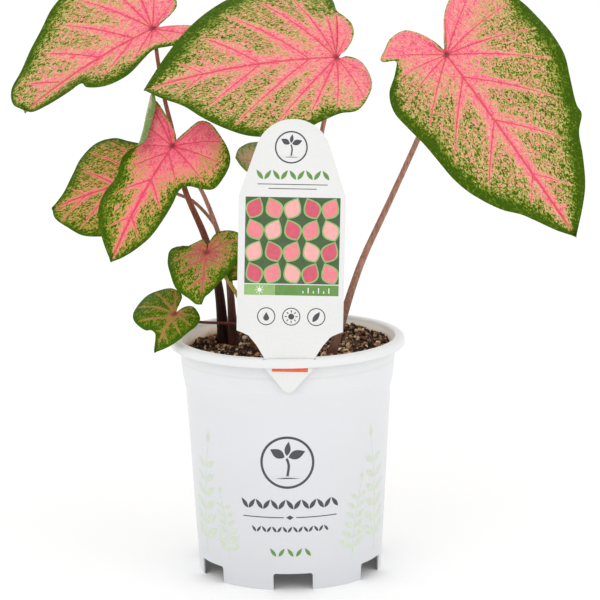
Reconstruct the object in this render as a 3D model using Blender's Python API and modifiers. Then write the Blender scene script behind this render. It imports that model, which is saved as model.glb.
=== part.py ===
"""A young caladium in its nursery pot: pot, soil, tubers, nine leaves on petioles, and a label.

Lengths below are millimetres and angles are degrees; MM turns them into Blender's metres.
The origin is the middle of the pot's foot, on the surface it stands on. +Z is up and -Y is the
front, where the label stands.
"""
import math

import bmesh
import bpy
import numpy as np
from mathutils import Vector

MM = 0.001

# Pot
POT_HEIGHT = 125.0
FOOT_RADIUS = 48.0
STEP_RADIUS = 53.8
STEP_HEIGHT = 98.7
COLLAR_RADIUS = 55.3
COLLAR_HEIGHT = 104.6
NECK_RADIUS = 56.6
NECK_HEIGHT = 119.5
LIP_RADIUS = 61.4
LIP_EDGE_HEIGHT = 120.2
WALL = 1.1
FLOOR_HEIGHT = 9.8
FLOOR_THICKNESS = 1.4
FLOOR_CORNER = 2.2
LIP_THICKNESS = 1.2
FOOT_WIDTH = 1.4
POT_SIDES = 60
NOTCHES = 6
NOTCH_WIDTH = 20.3
NOTCH_HEIGHT = 8.9
NOTCH_TURN = 1.5
DRAIN_RADIUS = 4.0
DRAIN_RING_RADIUS = 30.0
SLOT_FLOOR = 2.6
CUTTER_OVERLAP = 6.0

# Soil
SOIL_HEIGHT = 116.6
SOIL_EDGE_HEIGHT = 110.0
SOIL_GAP = 0.4
SOIL_CORNER = 2.4
SOIL_SIDES = 48
SOIL_RINGS = 9
HOLE_GAP = 0.5
HOLE_TOP = 25.0
TUBER_ROOM = 0.4

# Label
LABEL_THICKNESS = 0.8
LABEL_Y = -58.3
LABEL_X = 0.65
LABEL_LEAN = 1.8
LABEL_HALF_WIDTH = 26.8
LABEL_NECK_HALF_WIDTH = 12.7
LABEL_SHOULDER = 14.0
LABEL_BODY_TOP = 82.5
LABEL_TOP = 121.6
LABEL_HEAD_RADIUS = 19.0
LABEL_HEAD_START = 18.7
LABEL_TAPER_TOP = -6.0
LABEL_TIP = -17.7
LABEL_TIP_RADIUS = 4.0

# Leaves
BLADE_THICKNESS = 0.7
RIB_THICKNESS = 1.4
RIB_DIP = 0.25
VEIN_SPREAD = 0.42
VEIN_SWEEP = 0.12
FOLD_SOFTNESS = 2.0
ARCH_REACH = 0.36

# Tubers: centre, then half-axes
TUBERS = {
    "tuber_left": ((-23, 13, 78), (17, 16, 9)),
    "tuber_right": ((14, 12, 78), (15, 14, 9)),
}

# A leaf is laid out flat first, seen on its upper face with the tip ahead. Its outline is given
# from the tip round each side to the notch behind the petiole, as (angle from the midrib, distance
# from the petiole's junction). It then stands from "junction" to "tip", its face turned "facing"
# (degrees round from the front, degrees up). The other values bend it: how far the midrib bows, how
# steeply each half folds up from it, how far the halves arch down, and the wave of the margin.
LEAVES = {
    "upper_left": dict(
        junction=(-69.5, 46, 281.5), tip=(-138, 37, 239), facing=(-15, 32), veins=9, rings=6,
        bow=5, left_fold=0.6, right_fold=0.1, arch=4, wave=1.6, waves=6, wave_start=40,
        left=[(0, 80), (4, 77), (8, 67), (11, 56), (12, 50), (13.5, 48), (18, 48.5), (30, 43),
              (44, 33), (57, 23), (74, 18), (94, 18), (112, 25), (126, 32), (136, 29), (148, 17),
              (162, 6)],
        right=[(0, 80), (5, 84), (11, 82), (17, 74), (26, 67), (36, 61), (48, 58), (64, 55), (82, 51),
               (98, 44), (112, 36), (130, 28), (148, 23), (166, 18), (174, 12), (177, 5)]),
    "upper_middle": dict(
        junction=(27, 12, 269), tip=(-73, 6, 254), facing=(-4, 42), veins=9, rings=6,
        bow=6, left_fold=0.35, right_fold=0.05, arch=7, wave=1.4, waves=5, wave_start=0,
        left=[(0, 101), (6, 94), (14, 85), (23, 80), (32, 75), (42, 69), (57, 57), (72, 45), (84, 40),
              (97, 39), (112, 32), (128, 25), (145, 17), (160, 11), (168, 5)],
        right=[(0, 101), (5, 95), (13, 88), (23, 82), (33, 77), (45, 72), (58, 68), (72, 64), (84, 58),
               (93, 52), (97, 43), (100, 34), (108, 29), (121, 23), (133, 16.5), (142, 10), (147, 6)]),
    "upper_right": dict(
        junction=(83, -10, 272), tip=(143, -80, 189), facing=(-14, 31), veins=9, rings=6,
        bow=6, left_fold=0.05, right_fold=0.15, arch=7, wave=1.8, waves=6, wave_start=90,
        left=[(0, 124), (5, 115), (10, 106), (16, 94), (22, 84), (29, 79), (31, 75), (42, 66), (53, 61),
              (66, 55), (80, 51), (96, 49), (112, 47), (130, 47), (141, 43), (148, 34), (153, 25),
              (156, 14), (159, 5)],
        right=[(0, 124), (3, 117), (9, 102), (14, 95), (22, 82), (28, 72), (35, 61), (44, 52), (56, 46),
               (72, 41), (90, 35), (104, 28), (117, 26), (120, 34), (132, 33), (146, 33), (159, 29),
               (168, 18), (173, 9), (176, 4)]),
    "side_front": dict(
        junction=(-58, -12, 227), tip=(-89, -44, 173), facing=(-10, 34), veins=8, rings=6,
        bow=5, left_fold=0.2, right_fold=0.2, arch=4, wave=1.0, waves=5, wave_start=20,
        curl=dict(toward=-72, start=12.8, radius=2.5, from_u=26, full_u=6),
        left=[(0, 70), (4, 67), (9, 62), (16, 54), (22, 45), (29, 36), (37, 28), (46, 27), (56, 31),
              (65, 35), (80, 34), (97, 32), (110, 29), (130, 25), (150, 23), (162, 20), (166, 12),
              (169, 5)],
        right=[(0, 70), (6, 64), (15, 56), (22, 49), (27, 41), (30, 34), (38, 29), (52, 25), (68, 22),
               (85, 22), (102, 25), (117, 31), (128, 34.5), (135, 30), (142, 20), (153, 12), (167, 7),
               (170, 4)]),
    "side_back": dict(
        junction=(-71, 16, 206), tip=(-123, 18, 190), facing=(-20, 45), veins=8, rings=5,
        bow=3, left_fold=0.12, right_fold=0.12, arch=3, wave=1.0, waves=5, wave_start=60,
        left=[(0, 54), (8, 54), (20, 50), (30, 47), (42, 41), (56, 36), (72, 30), (92, 25), (112, 20),
              (135, 15), (155, 6)],
        right=[(0, 54), (8, 47), (24, 44), (40, 45), (57, 45), (68, 40), (76, 32), (90, 26), (104, 21),
               (124, 17), (146, 13), (162, 5)]),
    "small_middle": dict(
        junction=(-41.5, -10, 171), tip=(-44, -30, 148), facing=(-6, 40), veins=6, rings=4,
        bow=2.5, left_fold=0.15, right_fold=0.15, arch=2.5, wave=0.8, waves=5, wave_start=0,
        left=[(0, 31), (4, 27), (8, 26), (21, 22), (42, 18), (71, 16), (97, 18), (122, 21), (138, 22),
              (152, 18), (165, 13), (174, 6)],
        right=[(0, 31), (5, 31), (12, 29), (32, 26), (54, 22), (86, 21), (104, 21), (109, 18),
               (114, 11), (135, 9), (160, 10), (175, 6)]),
    "small_low": dict(
        junction=(-58.5, -16, 140), tip=(-68.5, -29, 122.5), facing=(-22, 38), veins=6, rings=4,
        bow=2, left_fold=0.1, right_fold=0.1, arch=1, wave=0.5, waves=5, wave_start=120,
        left=[(0, 24), (10, 22), (25, 19), (47, 16), (77, 15), (98, 14), (117, 12), (137, 10), (155, 6),
              (165, 3)],
        right=[(0, 24), (8, 17), (14, 15), (29, 15), (36, 17), (59, 21), (74, 24), (90, 26), (112, 27),
               (128, 23), (147, 19), (168, 13), (174, 6)]),
    "young_curled": dict(
        junction=(-1, -12, 214), tip=(-26, -7, 220), facing=(-8, 25), veins=6, rings=4,
        bow=2, left_fold=0.45, right_fold=0.45, arch=0, wave=0.5, waves=4, wave_start=0,
        left=[(0, 26), (8, 23), (20, 19), (36, 15), (60, 12), (90, 11), (120, 11), (145, 9), (162, 4)],
        right=[(0, 26), (9, 26), (20, 23), (34, 18), (55, 14), (90, 12), (120, 11), (145, 9),
               (162, 4)]),
    "young_dark": dict(
        junction=(-14, 4, 167), tip=(-30, -5, 155), facing=(0, 35), veins=6, rings=4,
        bow=1.5, left_fold=0.15, right_fold=0.15, arch=1.5, wave=0.5, waves=4, wave_start=0,
        left=[(0, 22), (10, 19), (28, 15), (55, 12), (90, 11), (120, 10), (145, 8), (160, 4)],
        right=[(0, 22), (12, 20), (30, 16), (55, 13), (90, 11), (120, 10), (145, 8), (160, 4)]),
}

# Petioles: radius under the blade, radius at the soil, the points that the stem passes through
# below its junction, and the place on the tuber that it grows from (x, y)
PETIOLES = {
    "upper_left": (1.1, 4.2, [(-68, 54, 270), (-67, 55, 261), (-64, 52, 243), (-60, 46, 227),
                              (-54, 36, 198), (-43, 27, 172), (-36.5, 21, 148), (-34, 18.5, 116)],
                   (-33, 19)),
    "upper_middle": (1.2, 2.6, [(26, 20, 259), (24, 24, 248), (20, 26, 231), (13, 24, 195),
                                (6, 20, 153), (2, 18, 117)], (7, 16)),
    "upper_right": (1.4, 3.0, [(80.5, 0, 260), (75.5, 4, 242), (67.5, 7, 223), (53.5, 9, 192), (40, 9, 163),
                               (33.5, 2, 147), (28.3, -9, 133), (23, -17, 118)], (21, 3)),
    "side_front": (1.0, 4.0, [(-54, 0, 218), (-50, 3, 211), (-44, 6, 201), (-36, 9, 179),
                              (-31.5, 11, 160), (-30, 12, 147), (-28.5, 12.5, 119)], (-25.5, 11.5)),
    "side_back": (0.9, 1.5, [(-64, 28, 199), (-57, 36, 194), (-50, 40, 190), (-40, 37, 180),
                             (-33, 31, 168), (-25, 27, 149), (-19, 24, 131), (-16, 24, 118)], (-19, 20)),
    "small_middle": (1.0, 2.3, [(-39, -3, 167), (-32, -1, 156), (-26, 1, 146), (-20, 4, 132),
                                (-18, 7, 118)], (-19, 9)),
    "small_low": (0.7, 0.9, [(-53, -7, 135), (-46, -4, 133), (-35, 2, 131), (-26, 2, 130), (-18, 2, 125),
                             (-14, 2, 115)], (-16, 4)),
    "young_curled": (0.9, 1.4, [(0, -6, 208), (0, -2, 189), (1, 2, 164), (1, 4, 137), (1, 4, 116)],
                     (5, 6)),
    "young_dark": (0.8, 1.3, [(-13, 8, 162), (-11, 12, 149), (-8, 14, 133), (-8, 15, 116)], (-10, 14)),
}
PETIOLE_ROUNDNESS = 2
PETIOLE_STEP = 11.0
PETIOLE_TAPER = 2.4
PETIOLE_DROP = 2.0
PETIOLE_STUB = 3.5
TUBER_GAP = 1.5


def clear_scene():
    for thing in list(bpy.data.objects):
        bpy.data.objects.remove(thing, do_unlink=True)


def new_collection(name):
    collection = bpy.data.collections.new(name)
    bpy.context.scene.collection.children.link(collection)
    return collection


def new_material(name, colour, roughness):
    material = bpy.data.materials.new(name)
    material.use_nodes = True
    shader = material.node_tree.nodes["Principled BSDF"]
    shader.inputs["Base Color"].default_value = (*colour, 1.0)
    shader.inputs["Roughness"].default_value = roughness
    shader.inputs["Metallic"].default_value = 0.0
    material.diffuse_color = (*colour, 1.0)
    return material


def add_object(name, mesh, material, collection):
    thing = bpy.data.objects.new(name, mesh)
    collection.objects.link(thing)
    if material is not None:
        mesh.materials.clear()
        mesh.materials.append(material)
    return thing


def hide_cutter(cutter):
    cutter.hide_render = True
    cutter.display_type = "WIRE"


def cut(thing, cutter):
    """Take the cutter's shape out of the object, with a live Boolean."""
    boolean = thing.modifiers.new("cut " + cutter.name, "BOOLEAN")
    boolean.operation = "DIFFERENCE"
    boolean.solver = "EXACT"
    boolean.object = cutter


def turned_mesh(name, profile, sides):
    """Screw a profile of (radius, height) points, listed down its outer side, into a closed mesh."""
    mesh = bpy.data.meshes.new(name)
    shape = bmesh.new()
    points = [shape.verts.new((radius * MM, 0.0, height * MM)) for radius, height in profile]
    for first, second in zip(points, points[1:]):
        shape.edges.new((first, second))
    shape.to_mesh(mesh)
    shape.free()
    thing = bpy.data.objects.new(name, mesh)
    bpy.context.scene.collection.objects.link(thing)
    screw = thing.modifiers.new("turn", "SCREW")
    screw.axis = "Z"
    screw.angle = math.tau
    screw.steps = sides
    screw.render_steps = sides
    screw.use_merge_vertices = True
    screw.merge_threshold = 0.00001
    screw.use_normal_calculate = True
    return bake(thing)


def bake(thing):
    """Return the object's evaluated mesh, welded, and remove the object itself."""
    graph = bpy.context.evaluated_depsgraph_get()
    graph.update()
    mesh = bpy.data.meshes.new_from_object(thing.evaluated_get(graph))
    mesh.transform(thing.matrix_world)
    shape = bmesh.new()
    shape.from_mesh(mesh)
    bmesh.ops.remove_doubles(shape, verts=shape.verts, dist=0.000002)
    bmesh.ops.dissolve_degenerate(shape, dist=0.000002, edges=shape.edges)
    bmesh.ops.recalc_face_normals(shape, faces=shape.faces)
    shape.to_mesh(mesh)
    shape.free()
    bpy.data.objects.remove(thing, do_unlink=True)
    return mesh


def smooth_shade(mesh, angle=40.0):
    mesh.shade_smooth()
    mesh.set_sharp_from_angle(angle=math.radians(angle))


def outer_radius(height):
    """The pot's outside at a height: foot to step, a short flare, then collar to neck."""
    heights = (0.0, STEP_HEIGHT, COLLAR_HEIGHT, NECK_HEIGHT)
    radii = (FOOT_RADIUS, STEP_RADIUS, COLLAR_RADIUS, NECK_RADIUS)
    return float(np.interp(height, heights, radii))


def pot_profile():
    floor_top = FLOOR_HEIGHT + FLOOR_THICKNESS
    crest = POT_HEIGHT
    inside = [
        (0.0, floor_top),
        (outer_radius(floor_top) - WALL - FLOOR_CORNER, floor_top),
        (outer_radius(floor_top) - WALL, floor_top + FLOOR_CORNER),
        (outer_radius(STEP_HEIGHT) - WALL, STEP_HEIGHT - 0.4),
        (outer_radius(COLLAR_HEIGHT) - WALL, COLLAR_HEIGHT),
        (NECK_RADIUS - WALL, NECK_HEIGHT),
        (NECK_RADIUS - 0.5, crest - 1.0),
        (NECK_RADIUS + 0.4, crest),
    ]
    lip = [
        (LIP_RADIUS - 2.4, crest),
        (LIP_RADIUS - 1.0, crest - 0.7),
        (LIP_RADIUS - 0.25, crest - 2.2),
        (LIP_RADIUS, LIP_EDGE_HEIGHT),
        (LIP_RADIUS - 0.9, LIP_EDGE_HEIGHT),
        (LIP_RADIUS - 1.1, crest - 2.0 * LIP_THICKNESS),
        (LIP_RADIUS - 2.4, crest - LIP_THICKNESS),
        (NECK_RADIUS + 0.9, crest - LIP_THICKNESS),
    ]
    outside = [
        (NECK_RADIUS, NECK_HEIGHT),
        (COLLAR_RADIUS, COLLAR_HEIGHT),
        (STEP_RADIUS + 0.2, STEP_HEIGHT + 1.3),
        (STEP_RADIUS, STEP_HEIGHT - 0.6),
        (FOOT_RADIUS, 0.5),
        (FOOT_RADIUS - 0.2, 0.0),
        (FOOT_RADIUS - FOOT_WIDTH, 0.0),
        (outer_radius(FLOOR_HEIGHT) - WALL - 0.4, FLOOR_HEIGHT),
        (0.0, FLOOR_HEIGHT),
    ]
    return inside + lip + outside


def box_cutter(name, size, place, turn, cutters):
    bpy.ops.mesh.primitive_cube_add(size=1.0, location=[value * MM for value in place])
    box = bpy.context.object
    box.name = name
    box.data.transform(scale_matrix(size))
    box.rotation_euler.z = math.radians(turn)
    move_to(box, cutters)
    hide_cutter(box)
    return box


def scale_matrix(size):
    return np.diag([size[0] * MM, size[1] * MM, size[2] * MM, 1.0]).tolist()


def move_to(thing, collection):
    for old in list(thing.users_collection):
        old.objects.unlink(thing)
    collection.objects.link(thing)


def make_pot(parts, cutters):
    mesh = turned_mesh("pot", pot_profile(), POT_SIDES)
    smooth_shade(mesh)
    pot = add_object("pot", mesh, new_material("pot white", (0.86, 0.87, 0.88), 0.3), parts)
    for index in range(NOTCHES // 2):
        turn = NOTCH_TURN + index * 360.0 / NOTCHES
        size = (NOTCH_WIDTH, 2.6 * FOOT_RADIUS, NOTCH_HEIGHT + CUTTER_OVERLAP)
        place = (0.0, 0.0, NOTCH_HEIGHT - size[2] / 2)
        cut(pot, box_cutter(f"notch {index + 1}", size, place, turn, cutters))
    for index in range(NOTCHES):
        angle = math.radians(NOTCH_TURN + (index + 0.5) * 360.0 / NOTCHES)
        place = Vector((math.cos(angle), math.sin(angle), 0.0)) * DRAIN_RING_RADIUS * MM
        bpy.ops.mesh.primitive_cylinder_add(
            vertices=16, radius=DRAIN_RADIUS * MM, depth=(FLOOR_THICKNESS + CUTTER_OVERLAP) * MM,
            location=(place.x, place.y, (FLOOR_HEIGHT + FLOOR_THICKNESS / 2) * MM))
        drill = bpy.context.object
        drill.name = f"drain {index + 1}"
        move_to(drill, cutters)
        hide_cutter(drill)
        cut(pot, drill)
    slot_size = (2 * LABEL_NECK_HALF_WIDTH + 1.0, LABEL_THICKNESS + 0.7, CUTTER_OVERLAP)
    slot_place = (LABEL_X, LABEL_Y, LIP_EDGE_HEIGHT + SLOT_FLOOR + slot_size[2] / 2)
    cut(pot, box_cutter("label slot", slot_size, slot_place, 0.0, cutters))
    return pot


def soil_top(x, y):
    """Height of the soil's lumpy top, in millimetres: it lies higher at the right and the back."""
    tilt = 0.035 * x + 0.05 * y
    lumps = 1.1 * math.sin(0.19 * x + 0.6) * math.cos(0.17 * y - 0.4)
    crumbs = 0.6 * math.sin(0.41 * x + 0.33 * y + 1.0)
    return SOIL_HEIGHT + tilt + lumps + crumbs


def petiole_path(name):
    """Points down a petiole, evenly spaced on a smooth curve from the blade to its tuber."""
    top_radius, foot_radius, route, root = PETIOLES[name]
    leaf = LEAVES[name]
    _, _, face = leaf_axes(leaf)
    junction = np.array(leaf["junction"], float)
    start = [junction - face * PETIOLE_DROP, junction - face * (PETIOLE_DROP + PETIOLE_STUB)]
    centre, half = TUBERS[nearest_tuber(root)]
    lift = 1.0 - ((root[0] - centre[0]) / half[0]) ** 2 - ((root[1] - centre[1]) / half[1]) ** 2
    base = centre[2] + half[2] * math.sqrt(max(lift, 0.0)) + TUBER_GAP
    points = np.array(start + [np.array(point, float) for point in route] + [(*root, base)])
    path = smooth_through(points)
    length = np.r_[0.0, np.cumsum(np.linalg.norm(np.diff(path, axis=0), axis=1))]
    count = max(6, round(length[-1] / PETIOLE_STEP))
    spots = np.linspace(0.0, length[-1], count + 1)
    spaced = np.stack([np.interp(spots, length, path[:, axis]) for axis in range(3)], axis=1)
    share = (spots / length[-1]) ** PETIOLE_TAPER
    return spaced, top_radius + (foot_radius - top_radius) * share


def nearest_tuber(root):
    return min(TUBERS, key=lambda name: math.dist(TUBERS[name][0][:2], root))


def smooth_through(points, steps=12):
    """A Catmull-Rom curve through the points, with even pace by the root of each distance."""
    points = np.asarray(points, float)
    padded = np.vstack([2 * points[0] - points[1], points, 2 * points[-1] - points[-2]])
    pieces = []
    for index in range(1, len(padded) - 2):
        a, b, c, d = padded[index - 1:index + 3]
        ta = 0.0
        tb = ta + math.sqrt(np.linalg.norm(b - a))
        tc = tb + math.sqrt(np.linalg.norm(c - b))
        td = tc + math.sqrt(np.linalg.norm(d - c))
        t = np.linspace(tb, tc, steps, endpoint=False)[:, None]
        ab = ((tb - t) * a + (t - ta) * b) / (tb - ta)
        bc = ((tc - t) * b + (t - tb) * c) / (tc - tb)
        cd = ((td - t) * c + (t - tc) * d) / (td - tc)
        abc = ((tc - t) * ab + (t - ta) * bc) / (tc - ta)
        bcd = ((td - t) * bc + (t - tb) * cd) / (td - tb)
        pieces.append(((tc - t) * abc + (t - tb) * bcd) / (tc - tb))
    pieces.append(points[-1:])
    return np.vstack(pieces)


def tube_mesh(name, path, radii):
    """A round stem along a path, closed at both ends, as a welded mesh."""
    curve = bpy.data.curves.new(name, "CURVE")
    curve.dimensions = "3D"
    curve.bevel_depth = MM
    curve.bevel_resolution = PETIOLE_ROUNDNESS
    curve.use_fill_caps = True
    spline = curve.splines.new("POLY")
    spline.points.add(len(path) - 1)
    for point, place, radius in zip(spline.points, path, radii):
        point.co = (place[0] * MM, place[1] * MM, place[2] * MM, 1.0)
        point.radius = radius
    thing = bpy.data.objects.new(name, curve)
    bpy.context.scene.collection.objects.link(thing)
    mesh = bake(thing)
    bpy.data.curves.remove(curve)
    return mesh


def tuber_mesh(name, extra=0.0):
    """A flattened, knobbly ball. extra grows it all round, for the room it takes in the soil."""
    centre, half = TUBERS[name]
    bpy.ops.mesh.primitive_uv_sphere_add(segments=20, ring_count=10, radius=1.0)
    ball = bpy.context.object
    for vertex in ball.data.vertices:
        direction = vertex.co.normalized()
        knobs = 1.0 - 0.05 * (1.0 + math.sin(5 * direction.x + 3 * direction.y) * math.cos(6 * direction.y))
        for axis in range(3):
            reach = half[axis] * knobs + extra
            vertex.co[axis] = (centre[axis] + direction[axis] * reach) * MM
    mesh = ball.data.copy()
    mesh.name = name
    bpy.data.objects.remove(ball, do_unlink=True)
    return mesh


def make_tubers(parts):
    material = new_material("tuber brown", (0.23, 0.13, 0.07), 0.8)
    for name in TUBERS:
        mesh = tuber_mesh(name)
        smooth_shade(mesh)
        add_object(name, mesh, material, parts)


def make_soil(parts, cutters):
    floor = FLOOR_HEIGHT + FLOOR_THICKNESS + SOIL_GAP
    heights = (SOIL_EDGE_HEIGHT, STEP_HEIGHT, floor + SOIL_CORNER)
    wall = [(outer_radius(height) - WALL - SOIL_GAP, height) for height in heights]
    widest = wall[0][0]
    top = [(widest * ring / SOIL_RINGS, SOIL_HEIGHT) for ring in range(SOIL_RINGS + 1)]
    bottom = [(wall[-1][0] - SOIL_CORNER, floor), (0.0, floor)]
    mesh = turned_mesh("soil", top + wall + bottom, SOIL_SIDES)
    for vertex in mesh.vertices:
        if vertex.co.z > (SOIL_EDGE_HEIGHT + 1.0) * MM:
            vertex.co.z = soil_top(vertex.co.x / MM, vertex.co.y / MM) * MM
    smooth_shade(mesh)
    soil = add_object("soil", mesh, new_material("potting soil", (0.07, 0.045, 0.03), 0.95), parts)
    for name in TUBERS:
        room = add_object("room for " + name, tuber_mesh(name, TUBER_ROOM), None, cutters)
        hide_cutter(room)
        cut(soil, room)
    for name in PETIOLES:
        path, radii = petiole_path(name)
        below = path[-1] + unit(path[-1] - path[-2]) * 2.0 * TUBER_GAP
        keep = path[:, 2] < SOIL_HEIGHT + HOLE_TOP
        hole_path = np.vstack([path[keep], below])
        hole_radii = np.append(radii[keep], radii[-1]) + HOLE_GAP
        hole = add_object("hole " + name, tube_mesh("hole " + name, hole_path, hole_radii), None, cutters)
        hide_cutter(hole)
        cut(soil, hole)
    return soil


def arc(centre, radius, start, end, count):
    angles = np.radians(np.linspace(start, end, count))
    return [(centre[0] + radius * math.cos(a), centre[1] + radius * math.sin(a)) for a in angles]


def label_outline():
    """The label's right half, from the tip up to the top of its head, in its own plane."""
    taper = (LABEL_NECK_HALF_WIDTH - 0.8, LABEL_TAPER_TOP)
    slope = math.degrees(math.atan2(taper[0], taper[1] - LABEL_TIP))
    tip = arc((0.0, LABEL_TIP + LABEL_TIP_RADIUS), LABEL_TIP_RADIUS, -90.0, slope - 90.0, 4)
    neck = [taper, (LABEL_NECK_HALF_WIDTH, 0.0)]
    shoulder = [(LABEL_NECK_HALF_WIDTH + 4.0, 6.6), (LABEL_NECK_HALF_WIDTH + 8.0, 11.4),
                (LABEL_HALF_WIDTH - 2.5, LABEL_SHOULDER - 0.9), (LABEL_HALF_WIDTH, LABEL_SHOULDER)]
    body = [(LABEL_HALF_WIDTH, LABEL_BODY_TOP)]
    head = arc((0.0, LABEL_TOP - LABEL_HEAD_RADIUS), LABEL_HEAD_RADIUS, LABEL_HEAD_START, 90.0, 9)
    return tip + neck + shoulder + body + head


def make_label(parts):
    right = label_outline()
    left = [(-x, y) for x, y in reversed(right[1:-1])]
    curve = bpy.data.curves.new("label", "CURVE")
    curve.dimensions = "2D"
    curve.fill_mode = "BOTH"
    curve.extrude = LABEL_THICKNESS / 2 * MM
    spline = curve.splines.new("POLY")
    outline = right + left
    spline.points.add(len(outline) - 1)
    for point, (x, y) in zip(spline.points, outline):
        point.co = (x * MM, y * MM, 0.0, 1.0)
    spline.use_cyclic_u = True
    flat = bpy.data.objects.new("label outline", curve)
    bpy.context.scene.collection.objects.link(flat)
    mesh = bake(flat)
    bpy.data.curves.remove(curve)
    label = add_object("label", mesh, new_material("label white", (0.85, 0.86, 0.85), 0.35), parts)
    label.location = (LABEL_X * MM, LABEL_Y * MM, POT_HEIGHT * MM)
    label.rotation_euler = (math.radians(90.0), math.radians(LABEL_LEAN), 0.0)
    return label


def unit(vector):
    return vector / np.linalg.norm(vector)


def leaf_axes(leaf):
    """Three directions: along the midrib, to the leaf's left, and out of its upper face."""
    junction = np.array(leaf["junction"], float)
    along = unit(np.array(leaf["tip"], float) - junction)
    turn, rise = np.radians(leaf["facing"])
    toward = np.array([math.sin(turn) * math.cos(rise), -math.cos(turn) * math.cos(rise), math.sin(rise)])
    face = unit(toward - toward.dot(along) * along)
    return along, np.cross(face, along), face


def midrib_length(leaf):
    return math.dist(leaf["junction"], leaf["tip"])


def half_outline(leaf, side, count):
    """count + 1 evenly spaced points on one half's margin, from the tip to the notch."""
    sign = 1.0 if side == "left" else -1.0
    corners = [(r * math.cos(math.radians(a)), sign * r * math.sin(math.radians(a))) for a, r in leaf[side]]
    curve = smooth_through(corners)
    length = np.r_[0.0, np.cumsum(np.linalg.norm(np.diff(curve, axis=0), axis=1))]
    spots = np.linspace(0.0, length[-1], count + 1)
    return np.stack([np.interp(spots, length, curve[:, axis]) for axis in range(2)], axis=1)


def flat_rays(leaf, side, rays, rings):
    """Rays from the midrib to the margin, as real side veins run: those near the tip leave the
    midrib on its way, the others spread from the petiole's junction, and all bow to the tip."""
    margin = half_outline(leaf, side, rays)
    share = np.linspace(0.0, 1.0, rays + 1)
    start = np.clip(1.0 - share / VEIN_SPREAD, 0.0, None) ** 1.25 * midrib_length(leaf)
    origin = np.stack([start, np.zeros(rays + 1)], axis=1)
    reach = margin - origin
    span = np.linalg.norm(reach, axis=1)
    angle = np.abs(np.arctan2(reach[:, 1], reach[:, 0]))
    out = np.linspace(0.0, 1.0, rings + 1)
    flat = origin[:, None] + out[None, :, None] * reach[:, None]
    sweep = VEIN_SWEEP * span * np.sin(angle)
    flat[..., 0] -= sweep[:, None] * (out * (1.0 - out))[None]
    return flat, np.broadcast_to(out, (rays + 1, rings + 1))


def bend_leaf(leaf, flat, out):
    """Take points of the flat leaf to their places on the standing, arched and waved leaf."""
    u, v = flat[..., 0], flat[..., 1]
    share = u / midrib_length(leaf)
    rise = 4.0 * leaf["bow"] * share * (1.0 - share) * np.where(share < 0.0, 0.5, 1.0)
    fold = np.where(v > 0.0, leaf["left_fold"], leaf["right_fold"])
    rise = rise + fold * (np.hypot(v, FOLD_SOFTNESS) - FOLD_SOFTNESS)
    rise = rise - leaf["arch"] * (v / (ARCH_REACH * midrib_length(leaf))) ** 2
    swing = leaf["waves"] * np.arctan2(v, u) + math.radians(leaf["wave_start"])
    rise = rise + leaf["wave"] * out ** 3 * np.sin(swing)
    x, y = u, v
    if "curl" in leaf:
        x, y, rise = roll_up(leaf["curl"], u, v, rise)
    along, side, face = leaf_axes(leaf)
    place = np.array(leaf["junction"], float)
    return place + x[..., None] * along + y[..., None] * side + rise[..., None] * face


def roll_up(curl, u, v, rise):
    """Roll what lies beyond a line of the flat leaf up and over, as a page curls."""
    turn = math.radians(curl["toward"])
    window = np.clip((curl["from_u"] - u) / (curl["from_u"] - curl["full_u"]), 0.0, 1.0)
    bend = np.maximum(window * window * (3.0 - 2.0 * window) / curl["radius"], 1e-6)
    beyond = np.clip(u * math.cos(turn) + v * math.sin(turn) - curl["start"], 0.0, None)
    shift = np.sin(beyond * bend) / bend - beyond
    lift = (1.0 - np.cos(beyond * bend)) / bend
    return u + shift * math.cos(turn), v + shift * math.sin(turn), rise + lift


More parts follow.
